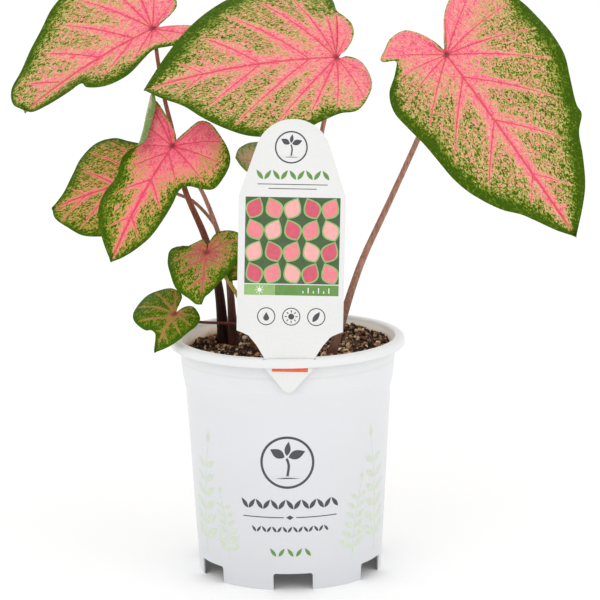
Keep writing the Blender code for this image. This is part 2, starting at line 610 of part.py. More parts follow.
def make_leaf(name, material, parts):
    """Bend a flat grid into the blade: right notch, tip, left notch across, midrib to margin up."""
    leaf = LEAVES[name]
    rays = 2 * leaf["veins"]
    rings = leaf["rings"]
    left, out = flat_rays(leaf, "left", rays, rings)
    right, _ = flat_rays(leaf, "right", rays, rings)
    flat = np.concatenate([right[::-1], left[1:]], axis=0)
    out = np.concatenate([out[::-1], out[1:]], axis=0)
    place = bend_leaf(leaf, flat, out)
    ray = np.abs(np.arange(-rays, rays + 1))
    on_vein = (ray % 2 == 0).astype(float)
    rib = np.maximum(on_vein[:, None] * (1.0 - out ** 2), out == 0.0)
    _, _, face = leaf_axes(leaf)
    place = place - (rib * RIB_DIP)[..., None] * face

    bpy.ops.mesh.primitive_grid_add(x_subdivisions=2 * rays, y_subdivisions=rings, size=1.0)
    blade = bpy.context.object
    blade.name = "leaf_" + name
    corners = np.empty(len(blade.data.vertices) * 3)
    blade.data.vertices.foreach_get("co", corners)
    corners = corners.reshape(-1, 3)
    column = np.rint((corners[:, 0] + 0.5) * 2 * rays).astype(int)
    row = np.rint((corners[:, 1] + 0.5) * rings).astype(int)
    blade.data.vertices.foreach_set("co", (place[column, row] * MM).ravel())
    group = blade.vertex_groups.new(name="thickness")
    for index, weight in enumerate(rib[column, row]):
        group.add([index], BLADE_THICKNESS / RIB_THICKNESS * (1.0 - weight) + weight, "REPLACE")

    shape = bmesh.new()
    shape.from_mesh(blade.data)
    bmesh.ops.remove_doubles(shape, verts=shape.verts, dist=0.00002)
    bmesh.ops.dissolve_degenerate(shape, dist=0.00002, edges=shape.edges)
    bmesh.ops.triangulate(shape, faces=shape.faces, quad_method="SHORT_EDGE")
    bmesh.ops.recalc_face_normals(shape, faces=shape.faces)
    total = sum((part.normal * part.calc_area() for part in shape.faces), Vector())
    if total.dot(Vector(face)) < 0.0:
        bmesh.ops.reverse_faces(shape, faces=shape.faces)
    shape.to_mesh(blade.data)
    shape.free()
    solid = blade.modifiers.new("thickness", "SOLIDIFY")
    solid.thickness = RIB_THICKNESS * MM
    solid.offset = -1.0
    solid.vertex_group = group.name
    solid.use_rim = True
    blade.data.materials.append(material)
    smooth_shade(blade.data, 60.0)
    move_to(blade, parts)
    return blade


def make_petioles(parts):
    material = new_material("petiole brown", (0.32, 0.17, 0.13), 0.6)
    for name in PETIOLES:
        path, radii = petiole_path(name)
        mesh = tube_mesh("petiole_" + name, path, radii)
        smooth_shade(mesh)
        add_object("petiole_" + name, mesh, material, parts)


def main():
    clear_scene()
    parts = new_collection("potted caladium")
    cutters = new_collection("cutters")
    make_pot(parts, cutters)
    make_soil(parts, cutters)
    make_tubers(parts)
    make_label(parts)
    make_petioles(parts)
    pink = new_material("leaf pink and green", (0.55, 0.30, 0.22), 0.45)
    for name in LEAVES:
        make_leaf(name, pink, parts)


main()
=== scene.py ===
# %% [markdown]
# # A young caladium in its nursery pot
#
# This script dresses a potted caladium. The plain solids come from the imported model, and every
# piece below keeps the place and form of the solid that it stands for. Here the leaves get fine
# meshes with real veins and a pink and green pattern, the petioles their specks, the pot its
# rounded lip and printed sprigs, the label its print, and the soil its crumbs of bark and perlite.
#
# Lengths are millimetres in the script's values, and MM turns them into Blender's metres.

# %% Load the plain plant and count its nodes
import math

import bmesh
import bpy
import numpy as np
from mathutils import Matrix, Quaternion, Vector


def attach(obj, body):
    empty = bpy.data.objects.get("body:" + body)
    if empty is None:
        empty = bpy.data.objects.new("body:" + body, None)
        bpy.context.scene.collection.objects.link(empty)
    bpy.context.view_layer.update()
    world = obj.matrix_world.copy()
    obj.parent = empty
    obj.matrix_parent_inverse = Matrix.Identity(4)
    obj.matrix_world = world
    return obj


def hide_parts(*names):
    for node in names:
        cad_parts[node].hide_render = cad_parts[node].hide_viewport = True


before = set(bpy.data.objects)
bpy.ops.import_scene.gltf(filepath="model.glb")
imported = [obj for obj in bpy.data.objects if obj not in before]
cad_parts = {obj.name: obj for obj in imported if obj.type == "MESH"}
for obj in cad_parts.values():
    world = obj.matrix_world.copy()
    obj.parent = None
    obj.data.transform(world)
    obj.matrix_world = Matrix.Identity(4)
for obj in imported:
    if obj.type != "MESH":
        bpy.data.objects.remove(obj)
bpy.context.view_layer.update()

MM = 0.001
print("nodes in the plain model:", len(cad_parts))

# %% [markdown]
# ## Camera
#
# The photographer stood about a metre and a half away with a long lens, a little above the leaves.
# A long lens keeps the pot's sides nearly straight, so the distance was found from how round the
# pot's lip looks, and the lens from how large the pot is in the picture.

# %% Place the camera
CAMERA_PLACE = Vector((0.0, -1.5, 0.444))
CAMERA_TARGET = Vector((0.0067, 0.0, 0.1432))
CAMERA_ROLL = -0.0119
SENSOR_WIDTH = 36.0
FOCAL_LENGTH = 175.54

aim = (CAMERA_TARGET - CAMERA_PLACE).to_track_quat("-Z", "Y")
bpy.ops.object.camera_add(location=CAMERA_PLACE)
camera = bpy.context.object
camera.rotation_mode = "QUATERNION"
camera.rotation_quaternion = aim @ Quaternion((0.0, 0.0, 1.0), CAMERA_ROLL)
camera.data.sensor_width = SENSOR_WIDTH
camera.data.lens = FOCAL_LENGTH
bpy.context.scene.camera = camera
print("camera at", tuple(round(value, 3) for value in CAMERA_PLACE))

# %% [markdown]
# ## Small helpers
#
# A shape in Blender is often a plain grid whose points are then moved by a rule. These helpers
# start a piece, move its points, finish its modifiers and put it on the plant's one body.

# %% Helpers for pieces
def deselect():
    bpy.ops.object.select_all(action="DESELECT")


def only(piece):
    """Select this piece alone and make it the active one, as operators need."""
    deselect()
    piece.select_set(True)
    bpy.context.view_layer.objects.active = piece


def started(name):
    """Name the object that an operator has just added, and return it."""
    piece = bpy.context.object
    piece.name = name
    piece.data.name = name
    return piece


def placed(name, data):
    """Put a mesh or a curve into the scene as a piece."""
    piece = bpy.data.objects.new(name, data)
    bpy.context.scene.collection.objects.link(piece)
    only(piece)
    return piece


def points_of(piece):
    """The piece's points as a table of x, y and z in millimetres."""
    flat = np.empty(len(piece.data.vertices) * 3)
    piece.data.vertices.foreach_get("co", flat)
    return flat.reshape(-1, 3) / MM


def move_points(piece, places):
    piece.data.vertices.foreach_set("co", (np.asarray(places) * MM).ravel())
    piece.data.update()


def apply_modifiers(piece):
    only(piece)
    for modifier in list(piece.modifiers):
        bpy.ops.object.modifier_apply(modifier=modifier.name)


def settle(piece):
    """Put the piece's place into its mesh, so that its object sits at the origin."""
    only(piece)
    bpy.ops.object.transform_apply(location=True, rotation=True, scale=True)


def smooth(piece, angle=40.0):
    only(piece)
    bpy.ops.object.shade_smooth_by_angle(angle=math.radians(angle))


def clean(piece, apart):
    """Merge the points that lie closer than a distance, and turn every face outwards."""
    only(piece)
    bpy.ops.object.mode_set(mode="EDIT")
    bpy.ops.mesh.select_all(action="SELECT")
    bpy.ops.mesh.remove_doubles(threshold=apart * MM)
    bpy.ops.mesh.normals_make_consistent(inside=False)
    bpy.ops.object.mode_set(mode="OBJECT")


def add_line(curve, places):
    """Add a straight-sided line through some places, flat or not, to a curve."""
    line = curve.splines.new("POLY")
    line.points.add(len(places) - 1)
    for point, place in zip(line.points, places):
        x, y, z = (*place, 0.0)[:3]
        point.co = (x * MM, y * MM, z * MM, 1.0)
    return line


def to_mesh(name, curve, apart):
    """Turn a curve into a closed mesh."""
    placed(name, curve)
    bpy.ops.object.convert(target="MESH")
    piece = started(name)
    clean(piece, apart)
    return piece


def triangles(piece):
    return sum(len(part.vertices) - 2 for part in piece.data.polygons)


def dress(piece, materials, replaces=None):
    """Give the piece its materials, seat it on the plant and hide the solid that it stands for."""
    piece.data.materials.clear()
    for material in materials:
        piece.data.materials.append(material)
    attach(piece, "root")
    if replaces:
        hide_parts(replaces)


# %% Helpers for materials
# A pattern is a chain of nodes. Each helper adds one node to the tree that its values come from,
# and gives back that node's output for the next.
WHITE = (1.0, 1.0, 1.0)
BLACK = (0.0, 0.0, 0.0)


def new_material(name, roughness, specular=0.5):
    """A material with a Principled BSDF. Returns the material, its node tree and the shader."""
    material = bpy.data.materials.new(name)
    material.use_nodes = True
    tree = material.node_tree
    shader = tree.nodes["Principled BSDF"]
    shader.inputs["Roughness"].default_value = roughness
    shader.inputs["Specular IOR Level"].default_value = specular
    return material, tree, shader


def node(tree, kind, **settings):
    """Add a node and set its properties by name."""
    new = tree.nodes.new(kind)
    for name, value in settings.items():
        setattr(new, name, value)
    return new


def is_output(value):
    return isinstance(value, bpy.types.NodeSocket)


def tree_of(*values):
    """The node tree that the values come from. Plain numbers and colours come from none."""
    return next(value for value in values if is_output(value)).id_data


def feed(socket, value):
    """Give a socket a number or colour, or link it to another node's output."""
    if is_output(value):
        socket.id_data.links.new(value, socket)
    else:
        socket.default_value = value


def chained(kind, output, inputs, **settings):
    """Add a node to the tree that its inputs come from, feed it, and give back one output."""
    new = node(tree_of(*inputs.values()), kind, **settings)
    for name, value in inputs.items():
        feed(new.inputs[name], value)
    return new.outputs[output]


def reckon(operation, first, second=0.5, clamp=False):
    """A Math node on two values."""
    return chained("ShaderNodeMath", 0, {0: first, 1: second}, operation=operation, use_clamp=clamp)


def plus(first, second):
    return reckon("ADD", first, second)


def less(first, second, clamp=False):
    return reckon("SUBTRACT", first, second, clamp)


def times(first, second, clamp=False):
    return reckon("MULTIPLY", first, second, clamp)


def sway(pattern, width):
    """Let a pattern that runs from 0 to 1 swing about nothing, by a width in all."""
    return times(less(pattern, 0.5), width)


def ramp(factor, stops, smooth_steps=False):
    """A Color Ramp with stops of (place, colour)."""
    new = node(factor.id_data, "ShaderNodeValToRGB")
    if smooth_steps:
        new.color_ramp.interpolation = "EASE"
    elements = new.color_ramp.elements
    while len(elements) < len(stops):
        elements.new(0.5)
    for element, (place, colour) in zip(elements, stops):
        element.position = place
        element.color = (*colour, 1.0)
    feed(new.inputs["Fac"], factor)
    return new.outputs["Color"]


def mask(factor, white_at, black_at, smooth_steps=True):
    """White at one value, black at another, and a fade between the two."""
    return ramp(factor, sorted([(white_at, WHITE), (black_at, BLACK)]), smooth_steps)


def blend(share, first, second, way="MIX"):
    """Mix two colours."""
    first, second = (value if is_output(value) else (*value, 1.0) for value in (first, second))
    inputs = {"Factor": share, 6: first, 7: second}
    return chained("ShaderNodeMix", 2, inputs, data_type="RGBA", blend_type=way)


def remap(value, low, high, low_result=0.0, high_result=1.0, way="LINEAR"):
    """Stretch one range of values to another."""
    inputs = {
        "Value": value, "From Min": low, "From Max": high,
        "To Min": low_result, "To Max": high_result}
    return chained("ShaderNodeMapRange", "Result", inputs, interpolation_type=way)


def scaled(vector, scale):
    """Stretch a pattern's coordinates."""
    return chained("ShaderNodeMapping", "Vector", {"Vector": vector, "Scale": scale})


def noise(vector, scale, detail=3.0, rough=0.5):
    inputs = {"Vector": vector, "Scale": scale, "Detail": detail, "Roughness": rough}
    return chained("ShaderNodeTexNoise", "Fac", inputs)


def from_origin(vector):
    """The distance of coordinates from their origin."""
    return chained("ShaderNodeVectorMath", "Value", {0: vector}, operation="LENGTH")


def height_of(vector):
    return chained("ShaderNodeSeparateXYZ", "Z", {"Vector": vector})


def object_place(tree):
    return node(tree, "ShaderNodeTexCoord").outputs["Object"]


def uv_place(tree, name):
    return node(tree, "ShaderNodeUVMap", uv_map=name).outputs["UV"]


def attribute(tree, name):
    return node(tree, "ShaderNodeAttribute", attribute_name=name).outputs["Fac"]


def bump(shader, height, strength, distance):
    """Let a pattern stand up from the surface by a distance in millimetres."""
    inputs = {"Strength": strength, "Distance": distance * MM, "Height": height}
    feed(shader.inputs["Normal"], chained("ShaderNodeBump", "Normal", inputs))


# %% [markdown]
# ## The leaf as a formula
#
# A caladium leaf is a heart on a stalk. Flat, its outline is easy to give as a few distances from
# the point where the petiole joins, all the way round. Its side veins leave the midrib or spread
# from that point, and run to the margin. So the blade is laid out as rays that run along the
# veins, and then bent: the midrib bows, the halves fold up and arch down, and the margin waves.
#
# A sculpted or cloth leaf would also do, but a formula keeps each vein on a line of points, and
# that line is what the colours and the ribs need.

# %% How the nine leaves stand, and how they are bent
# A leaf stands from its junction to its tip, its face turned some degrees round from the front
# and some degrees up. Its midrib bows, each half folds up from it, the halves arch down, and the
# margin waves a number of times, from a start in degrees.
STANCE = (
    "junction", "tip", "facing", "veins", "bow", "left_fold", "right_fold", "arch", "wave", "waves",
    "wave_start")
STANCES = {
    "upper_left": ((-69.5, 46, 281.5), (-138, 37, 239), (-15, 32), 9, 5, 0.6, 0.1, 4, 1.6, 6, 40),
    "upper_middle": ((27, 12, 269), (-73, 6, 254), (-4, 42), 9, 6, 0.35, 0.05, 7, 1.4, 5, 0),
    "upper_right": ((83, -10, 272), (143, -80, 189), (-14, 31), 9, 6, 0.05, 0.15, 7, 1.8, 6, 90),
    "side_front": ((-58, -12, 227), (-89, -44, 173), (-10, 34), 8, 5, 0.2, 0.2, 4, 1.0, 5, 20),
    "side_back": ((-71, 16, 206), (-123, 18, 190), (-20, 45), 8, 3, 0.12, 0.12, 3, 1.0, 5, 60),
    "small_middle": ((-41.5, -10, 171), (-44, -30, 148), (-6, 40), 6, 2.5, 0.15, 0.15, 2.5, 0.8, 5, 0),
    "small_low": ((-58.5, -16, 140), (-68.5, -29, 122.5), (-22, 38), 6, 2, 0.1, 0.1, 1, 0.5, 5, 120),
    "young_curled": ((-1, -12, 214), (-26, -7, 220), (-8, 25), 6, 2, 0.45, 0.45, 0, 0.5, 4, 0),
    "young_dark": ((-14, 4, 167), (-30, -5, 155), (0, 35), 6, 1.5, 0.15, 0.15, 1.5, 0.5, 4, 0),
}

# %% How pink and how green they are
# "flame" is how wide the pink along a vein is, "heart" how far it spreads from the junction, and
# "deepest" how little green it has. "field" is the green between the veins and "lobe_field" the
# green of the lobes. The green "rim" and its "fade" are widths, at the left half and the right.
COLOURING = ("flame", "heart", "deepest", "field", "lobe_field", "rim", "fade", "skin")
COLOURINGS = {
    "upper_left": (4.4, 0.22, 0.14, 0.52, 0.22, (2.0, 1.8), (10, 14), "pink"),
    "upper_middle": (3.8, 0.17, 0.15, 0.58, 0.19, (1.4, 5.0), (9, 15), "pink"),
    "upper_right": (3.4, 0.15, 0.15, 0.61, 0.16, (4.0, 3.6), (10, 9), "pink"),
    "side_front": (4.6, 0.34, 0.08, 0.65, 0.18, (1.0, 2.2), (8, 9), "golden"),
    "side_back": (2.4, 0.14, 0.12, 0.66, 0.56, (0.6, 0.8), (7, 7), "golden"),
    "small_middle": (1.3, 0.34, 0.12, 0.66, 0.60, (0.8, 1.0), (5, 5), "young"),
    "small_low": (0.5, 0.14, 0.20, 0.78, 0.72, (0.6, 0.6), (4, 4), "greenest"),
    "young_curled": (4.0, 0.20, 0.15, 0.50, 0.40, (0.4, 0.4), (4, 4), "pale"),
    "young_dark": (0.8, 0.10, 0.20, 0.86, 0.84, (0.8, 0.8), (4, 4), "greenest"),
}

# %% Their outlines, laid out flat
# Each is seen on its upper face with the tip ahead. The left half and then the right half run from
# the tip round to the notch behind the petiole, as (angle from the midrib, distance from the
# petiole's junction).
OUTLINES = {
    "upper_left": (
        [(0, 80), (4, 77), (8, 67), (11, 56), (12, 50), (13.5, 48), (18, 48.5), (30, 43), (44, 33),
         (57, 23), (74, 18), (94, 18), (112, 25), (126, 32), (136, 29), (148, 17), (162, 6)],
        [(0, 80), (5, 84), (11, 82), (17, 74), (26, 67), (36, 61), (48, 58), (64, 55), (82, 51),
         (98, 44), (112, 36), (130, 28), (148, 23), (166, 18), (174, 12), (177, 5)]),
    "upper_middle": (
        [(0, 101), (6, 94), (14, 85), (23, 80), (32, 75), (42, 69), (57, 57), (72, 45), (84, 40),
         (97, 39), (112, 32), (128, 25), (145, 17), (160, 11), (168, 5)],
        [(0, 101), (5, 95), (13, 88), (23, 82), (33, 77), (45, 72), (58, 68), (72, 64), (84, 58),
         (93, 52), (97, 43), (100, 34), (108, 29), (121, 23), (133, 16.5), (142, 10), (147, 6)]),
    "upper_right": (
        [(0, 124), (5, 115), (10, 106), (16, 94), (22, 84), (29, 79), (31, 75), (42, 66), (53, 61),
         (66, 55), (80, 51), (96, 49), (112, 47), (130, 47), (141, 43), (148, 34), (153, 25),
         (156, 14), (159, 5)],
        [(0, 124), (3, 117), (9, 102), (14, 95), (22, 82), (28, 72), (35, 61), (44, 52), (56, 46),
         (72, 41), (90, 35), (104, 28), (117, 26), (120, 34), (132, 33), (146, 33), (159, 29),
         (168, 18), (173, 9), (176, 4)]),
    "side_front": (
        [(0, 70), (4, 67), (9, 62), (16, 54), (22, 45), (29, 36), (37, 28), (46, 27), (56, 31),
         (65, 35), (80, 34), (97, 32), (110, 29), (130, 25), (150, 23), (162, 20),
         (166, 12), (169, 5)],
        [(0, 70), (6, 64), (15, 56), (22, 49), (27, 41), (30, 34), (38, 29), (52, 25), (68, 22),
         (85, 22), (102, 25), (117, 31), (128, 34.5), (135, 30), (142, 20), (153, 12),
         (167, 7), (170, 4)]),
    "side_back": (
        [(0, 54), (8, 54), (20, 50), (30, 47), (42, 41), (56, 36), (72, 30), (92, 25), (112, 20),
         (135, 15), (155, 6)],
        [(0, 54), (8, 47), (24, 44), (40, 45), (57, 45), (68, 40), (76, 32), (90, 26), (104, 21),
         (124, 17), (146, 13), (162, 5)]),
    "small_middle": (
        [(0, 31), (4, 27), (8, 26), (21, 22), (42, 18), (71, 16), (97, 18), (122, 21), (138, 22),
         (152, 18), (165, 13), (174, 6)],
        [(0, 31), (5, 31), (12, 29), (32, 26), (54, 22), (86, 21), (104, 21), (109, 18), (114, 11),
         (135, 9), (160, 10), (175, 6)]),
    "small_low": (
        [(0, 24), (10, 22), (25, 19), (47, 16), (77, 15), (98, 14), (117, 12), (137, 10), (155, 6),
         (165, 3)],
        [(0, 24), (8, 17), (14, 15), (29, 15), (36, 17), (59, 21), (74, 24), (90, 26), (112, 27),
         (128, 23), (147, 19), (168, 13), (174, 6)]),
    "young_curled": (
        [(0, 26), (8, 23), (20, 19), (36, 15), (60, 12), (90, 11), (120, 11), (145, 9), (162, 4)],
        [(0, 26), (9, 26), (20, 23), (34, 18), (55, 14), (90, 12), (120, 11), (145, 9), (162, 4)]),
    "young_dark": (
        [(0, 22), (10, 19), (28, 15), (55, 12), (90, 11), (120, 10), (145, 8), (160, 4)],
        [(0, 22), (12, 20), (30, 16), (55, 13), (90, 11), (120, 10), (145, 8), (160, 4)]),
}
MEASURES = STANCE + COLOURING + ("left", "right")
LEAVES = {
    name: dict(zip(MEASURES, STANCES[name] + COLOURINGS[name] + OUTLINES[name])) for name in STANCES}

# One lobe of the front leaf of the left group rolls over. The roll starts along a line of the
# flat leaf, square to a direction, and is full only behind a distance along the midrib.
LEAVES["side_front"]["curl"] = dict(toward=-72, start=12.8, radius=2.5, from_u=26, full_u=6)
print("leaves:", len(LEAVES))


# %% The leaf's flat rays
VEIN_SPREAD = 0.42
VEIN_CROWDING = 1.25
VEIN_SWEEP = 0.12


def midrib_length(leaf):
    return math.dist(leaf["junction"], leaf["tip"])


def smooth_through(points, steps=12):
    """A Catmull-Rom curve through the points, with even pace by the root of each distance."""
    points = np.asarray(points, float)
    padded = np.vstack([2 * points[0] - points[1], points, 2 * points[-1] - points[-2]])
    pieces = []
    for index in range(1, len(padded) - 2):
        near = padded[index - 1:index + 3]
        pace = np.r_[0.0, np.cumsum(np.sqrt(np.linalg.norm(np.diff(near, axis=0), axis=1)))]
        t = np.linspace(pace[1], pace[2], steps, endpoint=False)[:, None]

        def between(first, last, a, b):
            return ((pace[last] - t) * a + (t - pace[first]) * b) / (pace[last] - pace[first])

        ab, bc, cd = (between(i, i + 1, near[i], near[i + 1]) for i in range(3))
        pieces.append(between(1, 2, between(0, 2, ab, bc), between(1, 3, bc, cd)))
    pieces.append(points[-1:])
    return np.vstack(pieces)


def way_along(curve):
    """How far along the curve each of its points lies."""
    return np.r_[0.0, np.cumsum(np.linalg.norm(np.diff(curve, axis=0), axis=1))]


def evenly(curve, count):
    """Evenly spaced points on a curve, and their shares of its length."""
    way = way_along(curve)
    spots = np.linspace(0.0, way[-1], count)
    return np.stack([np.interp(spots, way, column) for column in curve.T], axis=1), spots / way[-1]


def half_outline(leaf, side, count):
    """count + 1 evenly spaced points on one half's margin, from the tip to the notch."""
    angles, distances = np.array(leaf[side], float).T
    angles = np.radians(angles) * (1.0 if side == "left" else -1.0)
    corners = np.stack([distances * np.cos(angles), distances * np.sin(angles)], axis=1)
    return evenly(smooth_through(corners), count + 1)[0]


def flat_rays(leaf, side, rays, rings):
    """Rays from the midrib to the margin, as real side veins run: those near the tip leave the
    midrib on its way, the others spread from the petiole's junction, and all bow to the tip."""
    margin = half_outline(leaf, side, rays)
    share = np.linspace(0.0, 1.0, rays + 1)
    start = np.clip(1.0 - share / VEIN_SPREAD, 0.0, None) ** VEIN_CROWDING * midrib_length(leaf)
    origin = np.stack([start, np.zeros(rays + 1)], axis=1)
    reach = margin - origin
    span = np.linalg.norm(reach, axis=1)
    angle = np.abs(np.arctan2(reach[:, 1], reach[:, 0]))
    out = np.linspace(0.0, 1.0, rings + 1)
    flat = origin[:, None] + out[None, :, None] * reach[:, None]
    sweep = VEIN_SWEEP * span * np.sin(angle)
    flat[..., 0] -= sweep[:, None] * (out * (1.0 - out))[None]
    return flat, np.broadcast_to(out, (rays + 1, rings + 1))


# %% The leaf's bend
FOLD_SOFTNESS = 2.0
ARCH_REACH = 0.36
STRAIGHTEST = 1e-6


def soft_step(value):
    """0 below 0, 1 above 1, and a smooth climb between."""
    value = np.clip(value, 0.0, 1.0)
    return value * value * (3.0 - 2.0 * value)


def unit(vector):
    return vector / np.linalg.norm(vector)


def leaf_axes(leaf):
    """Three directions: along the midrib, to the leaf's left, and out of its upper face."""
    along = unit(np.array(leaf["tip"], float) - np.array(leaf["junction"], float))
    turn, rise = np.radians(leaf["facing"])
    flat = math.cos(rise)
    toward = np.array([math.sin(turn) * flat, -math.cos(turn) * flat, math.sin(rise)])
    face = unit(toward - toward.dot(along) * along)
    return along, np.cross(face, along), face


def roll_up(curl, u, v, rise):
    """Roll what lies beyond a line of the flat leaf up and over, as a page curls."""
    turn = math.radians(curl["toward"])
    bend = soft_step((curl["from_u"] - u) / (curl["from_u"] - curl["full_u"])) / curl["radius"]
    bend = np.maximum(bend, STRAIGHTEST)
    beyond = np.clip(u * math.cos(turn) + v * math.sin(turn) - curl["start"], 0.0, None)
    shift = np.sin(beyond * bend) / bend - beyond
    lift = (1.0 - np.cos(beyond * bend)) / bend
    return u + shift * math.cos(turn), v + shift * math.sin(turn), rise + lift


def bend_leaf(leaf, flat, out):
    """Take points of the flat leaf to their places on the standing, arched and waved leaf."""
    u, v = flat[..., 0], flat[..., 1]
    share = u / midrib_length(leaf)
    rise = 4.0 * leaf["bow"] * share * (1.0 - share) * np.where(share < 0.0, 0.5, 1.0)
    fold = np.where(v > 0.0, leaf["left_fold"], leaf["right_fold"])
    rise = rise + fold * (np.hypot(v, FOLD_SOFTNESS) - FOLD_SOFTNESS)
    rise = rise - leaf["arch"] * (v / (ARCH_REACH * midrib_length(leaf))) ** 2
    swing = leaf["waves"] * np.arctan2(v, u) + math.radians(leaf["wave_start"])
    rise = rise + leaf["wave"] * out ** 3 * np.sin(swing)
    x, y = u, v
    if "curl" in leaf:
        x, y, rise = roll_up(leaf["curl"], u, v, rise)
    along, side, face = leaf_axes(leaf)
    place = np.array(leaf["junction"], float)
    return place + x[..., None] * along + y[..., None] * side + rise[..., None] * face


# %% [markdown]
# ## The blades
#
# Each blade starts as Blender's grid. One direction of the grid runs across the leaf from the
# right-hand lobe past the tip to the left-hand lobe, and the other runs along the veins. Between
# the veins the blade puffs up a little, and on a vein it is sunk above and thick below. Four
# measures are kept on every point for the colours: how far it is from the nearest vein, how far
# from the midrib, how green it is, and how far its green is mixed with pink.

# %% How far a point of the flat blade is from its lines
def distance_to_vein(flat, columns):
    """Each point's distance from the nearest vein, square to that vein."""
    rows = np.arange(len(flat))
    nearest = np.rint(rows / columns).astype(int) * columns
    vein = flat[nearest]
    along = np.gradient(vein, axis=1)
    along /= np.maximum(np.linalg.norm(along, axis=2, keepdims=True), 1e-9)
    apart = flat - vein
    across = apart - (apart * along).sum(axis=2, keepdims=True) * along
    return np.linalg.norm(across, axis=2)


def distance_to_margin(flat, margin):
    """Each point's distance from the nearest point of the blade's outline."""
    batches = np.array_split(flat.reshape(-1, 1, 2), 24)
    nearest = [np.linalg.norm(batch - margin[None], axis=2).min(axis=1) for batch in batches]
    return np.concatenate(nearest).reshape(flat.shape[:2])


def distance_to_midrib(flat):
    """Each point's distance from the midrib, which ends at the petiole's junction."""
    u, v = flat[..., 0], flat[..., 1]
    return np.where(u > 0.0, np.abs(v), np.hypot(u, v))


def ray_span(leaf, flat):
    """Each ray's length from the midrib to the margin, as a share of the midrib's."""
    return np.linalg.norm(flat[:, -1] - flat[:, 0], axis=1)[:, None] / midrib_length(leaf)


# %% [markdown]
# ### Where a blade is pink and where it is green
#
# The pink runs out along each vein as a flame that narrows towards the margin. The lobes behind
# the petiole are pink nearly to the edge, the field between the flames is a mix, and the margin is
# green. The rule gives a share from 0, pink, to 1, green, and the material breaks it into specks.

# %% The share of green over a blade
LOBE_START = 0.60
LOBE_FULL = 0.80
SHORTEST_FLAME = 0.70
FLAME_SPREAD = 0.26
FLAME_TAPER = 1.3
FIELD_DARKENING = 0.12
DARKENING_START = 0.35
RIM_AT_TIP = 0.35
FULLEST_GREEN = 1.05
MARGIN_SHARPNESS = 1.7
HEM_WIDTH = 1.0
HEM_START = 2.0


def pinkness(leaf, number, flat, share, out, vein, from_heart):
    """0 on a vein, on the midrib and at the heart, and 2 or more where their pink ends."""
    length = midrib_length(leaf)
    index = np.rint(share * leaf["veins"])
    chance = 0.5 + 0.5 * np.sin(12.9 * index + 1.7 * leaf["wave_start"] + number)
    long_vein = np.clip(2.2 * ray_span(leaf, flat), 0.1, 1.0)
    reach = (SHORTEST_FLAME + FLAME_SPREAD * chance) * (0.4 + 0.6 * long_vein)
    left = np.clip(1.0 - out / reach, 0.0, None)
    width = leaf["flame"] * (0.7 + 0.6 * chance) * long_vein * length / 100.0
    flame = width * left ** FLAME_TAPER + 0.8 * long_vein * np.sqrt(left) + 0.05
    flame = np.where(index == 0, 0.05, flame)
    narrowing = np.clip(1.0 - flat[..., 0] / length, 0.0, None) ** 0.7
    midrib = leaf["flame"] * length / 100.0 * narrowing + 0.9
    pink = np.minimum(vein / flame, distance_to_midrib(flat) / midrib)
    return np.minimum(pink, (from_heart / (leaf["heart"] * length)) ** 1.5)


def green_share(leaf, side, share, flat, out, vein, edge):
    """How green each point is, by its distance from the veins, the heart and the margin."""
    length = midrib_length(leaf)
    number = 0 if side == "left" else 1
    from_heart = np.hypot(flat[..., 0], flat[..., 1])
    lobe = soft_step((share - LOBE_START) / (LOBE_FULL - LOBE_START))
    pink = pinkness(leaf, number, flat, share, out, vein, from_heart)
    field = leaf["field"] * (1.0 - lobe) + leaf["lobe_field"] * lobe
    green = leaf["deepest"] + (field - leaf["deepest"]) * soft_step(pink / 2.0)
    green = green + FIELD_DARKENING * np.clip(out - DARKENING_START, 0.0, 1.0) * (1.0 - lobe)
    narrow = (1.0 - 0.7 * lobe) * np.clip(from_heart / (0.35 * length), 0.05, 1.0)
    narrow = narrow * np.clip(RIM_AT_TIP + (length - flat[..., 0]) / (0.3 * length), RIM_AT_TIP, 1.0)
    rim = leaf["rim"][number] * narrow * (1.0 - lobe)
    inward = np.clip((edge - rim) / (leaf["fade"][number] * narrow), 0.0, 1.0)
    green = green + (FULLEST_GREEN - green) * (1.0 - inward) ** MARGIN_SHARPNESS
    hem = np.clip(1.0 - edge / HEM_WIDTH, 0.0, 1.0) * soft_step(from_heart / HEM_START - 1.0)
    return np.clip(np.maximum(green, hem), 0.0, FULLEST_GREEN)


# %% One half of a blade, its skin raised and sunk
BLADE_THICKNESS = 0.55
RIB_THICKNESS = 1.3
RIB_WIDTH = 0.7
CHANNEL_DEPTH = 0.3
CHANNEL_WIDTH = 0.8
PUFF_HEIGHT = 0.55


def half_blade(leaf, side, margin, columns, rings):
    """One half's flat places and measures, from the tip's ray to the notch's."""
    rays = leaf["veins"] * columns
    flat, out = flat_rays(leaf, side, rays, rings)
    share = np.broadcast_to(np.linspace(0.0, 1.0, rays + 1)[:, None], out.shape)
    vein = distance_to_vein(flat, columns)
    edge = distance_to_margin(flat, margin)
    green = green_share(leaf, side, share, flat, out, vein, edge)
    mixed = soft_step((green - 0.08) / 0.2) * soft_step((FULLEST_GREEN - green) / 0.3)
    line = vein / np.clip(1.35 - out, 0.2, 1.0) / np.clip(2.5 * ray_span(leaf, flat), 0.3, 1.0)
    return dict(
        flat=flat, out=out, share=share, apart=vein, vein=line, edge=edge, green=green, mixed=mixed)


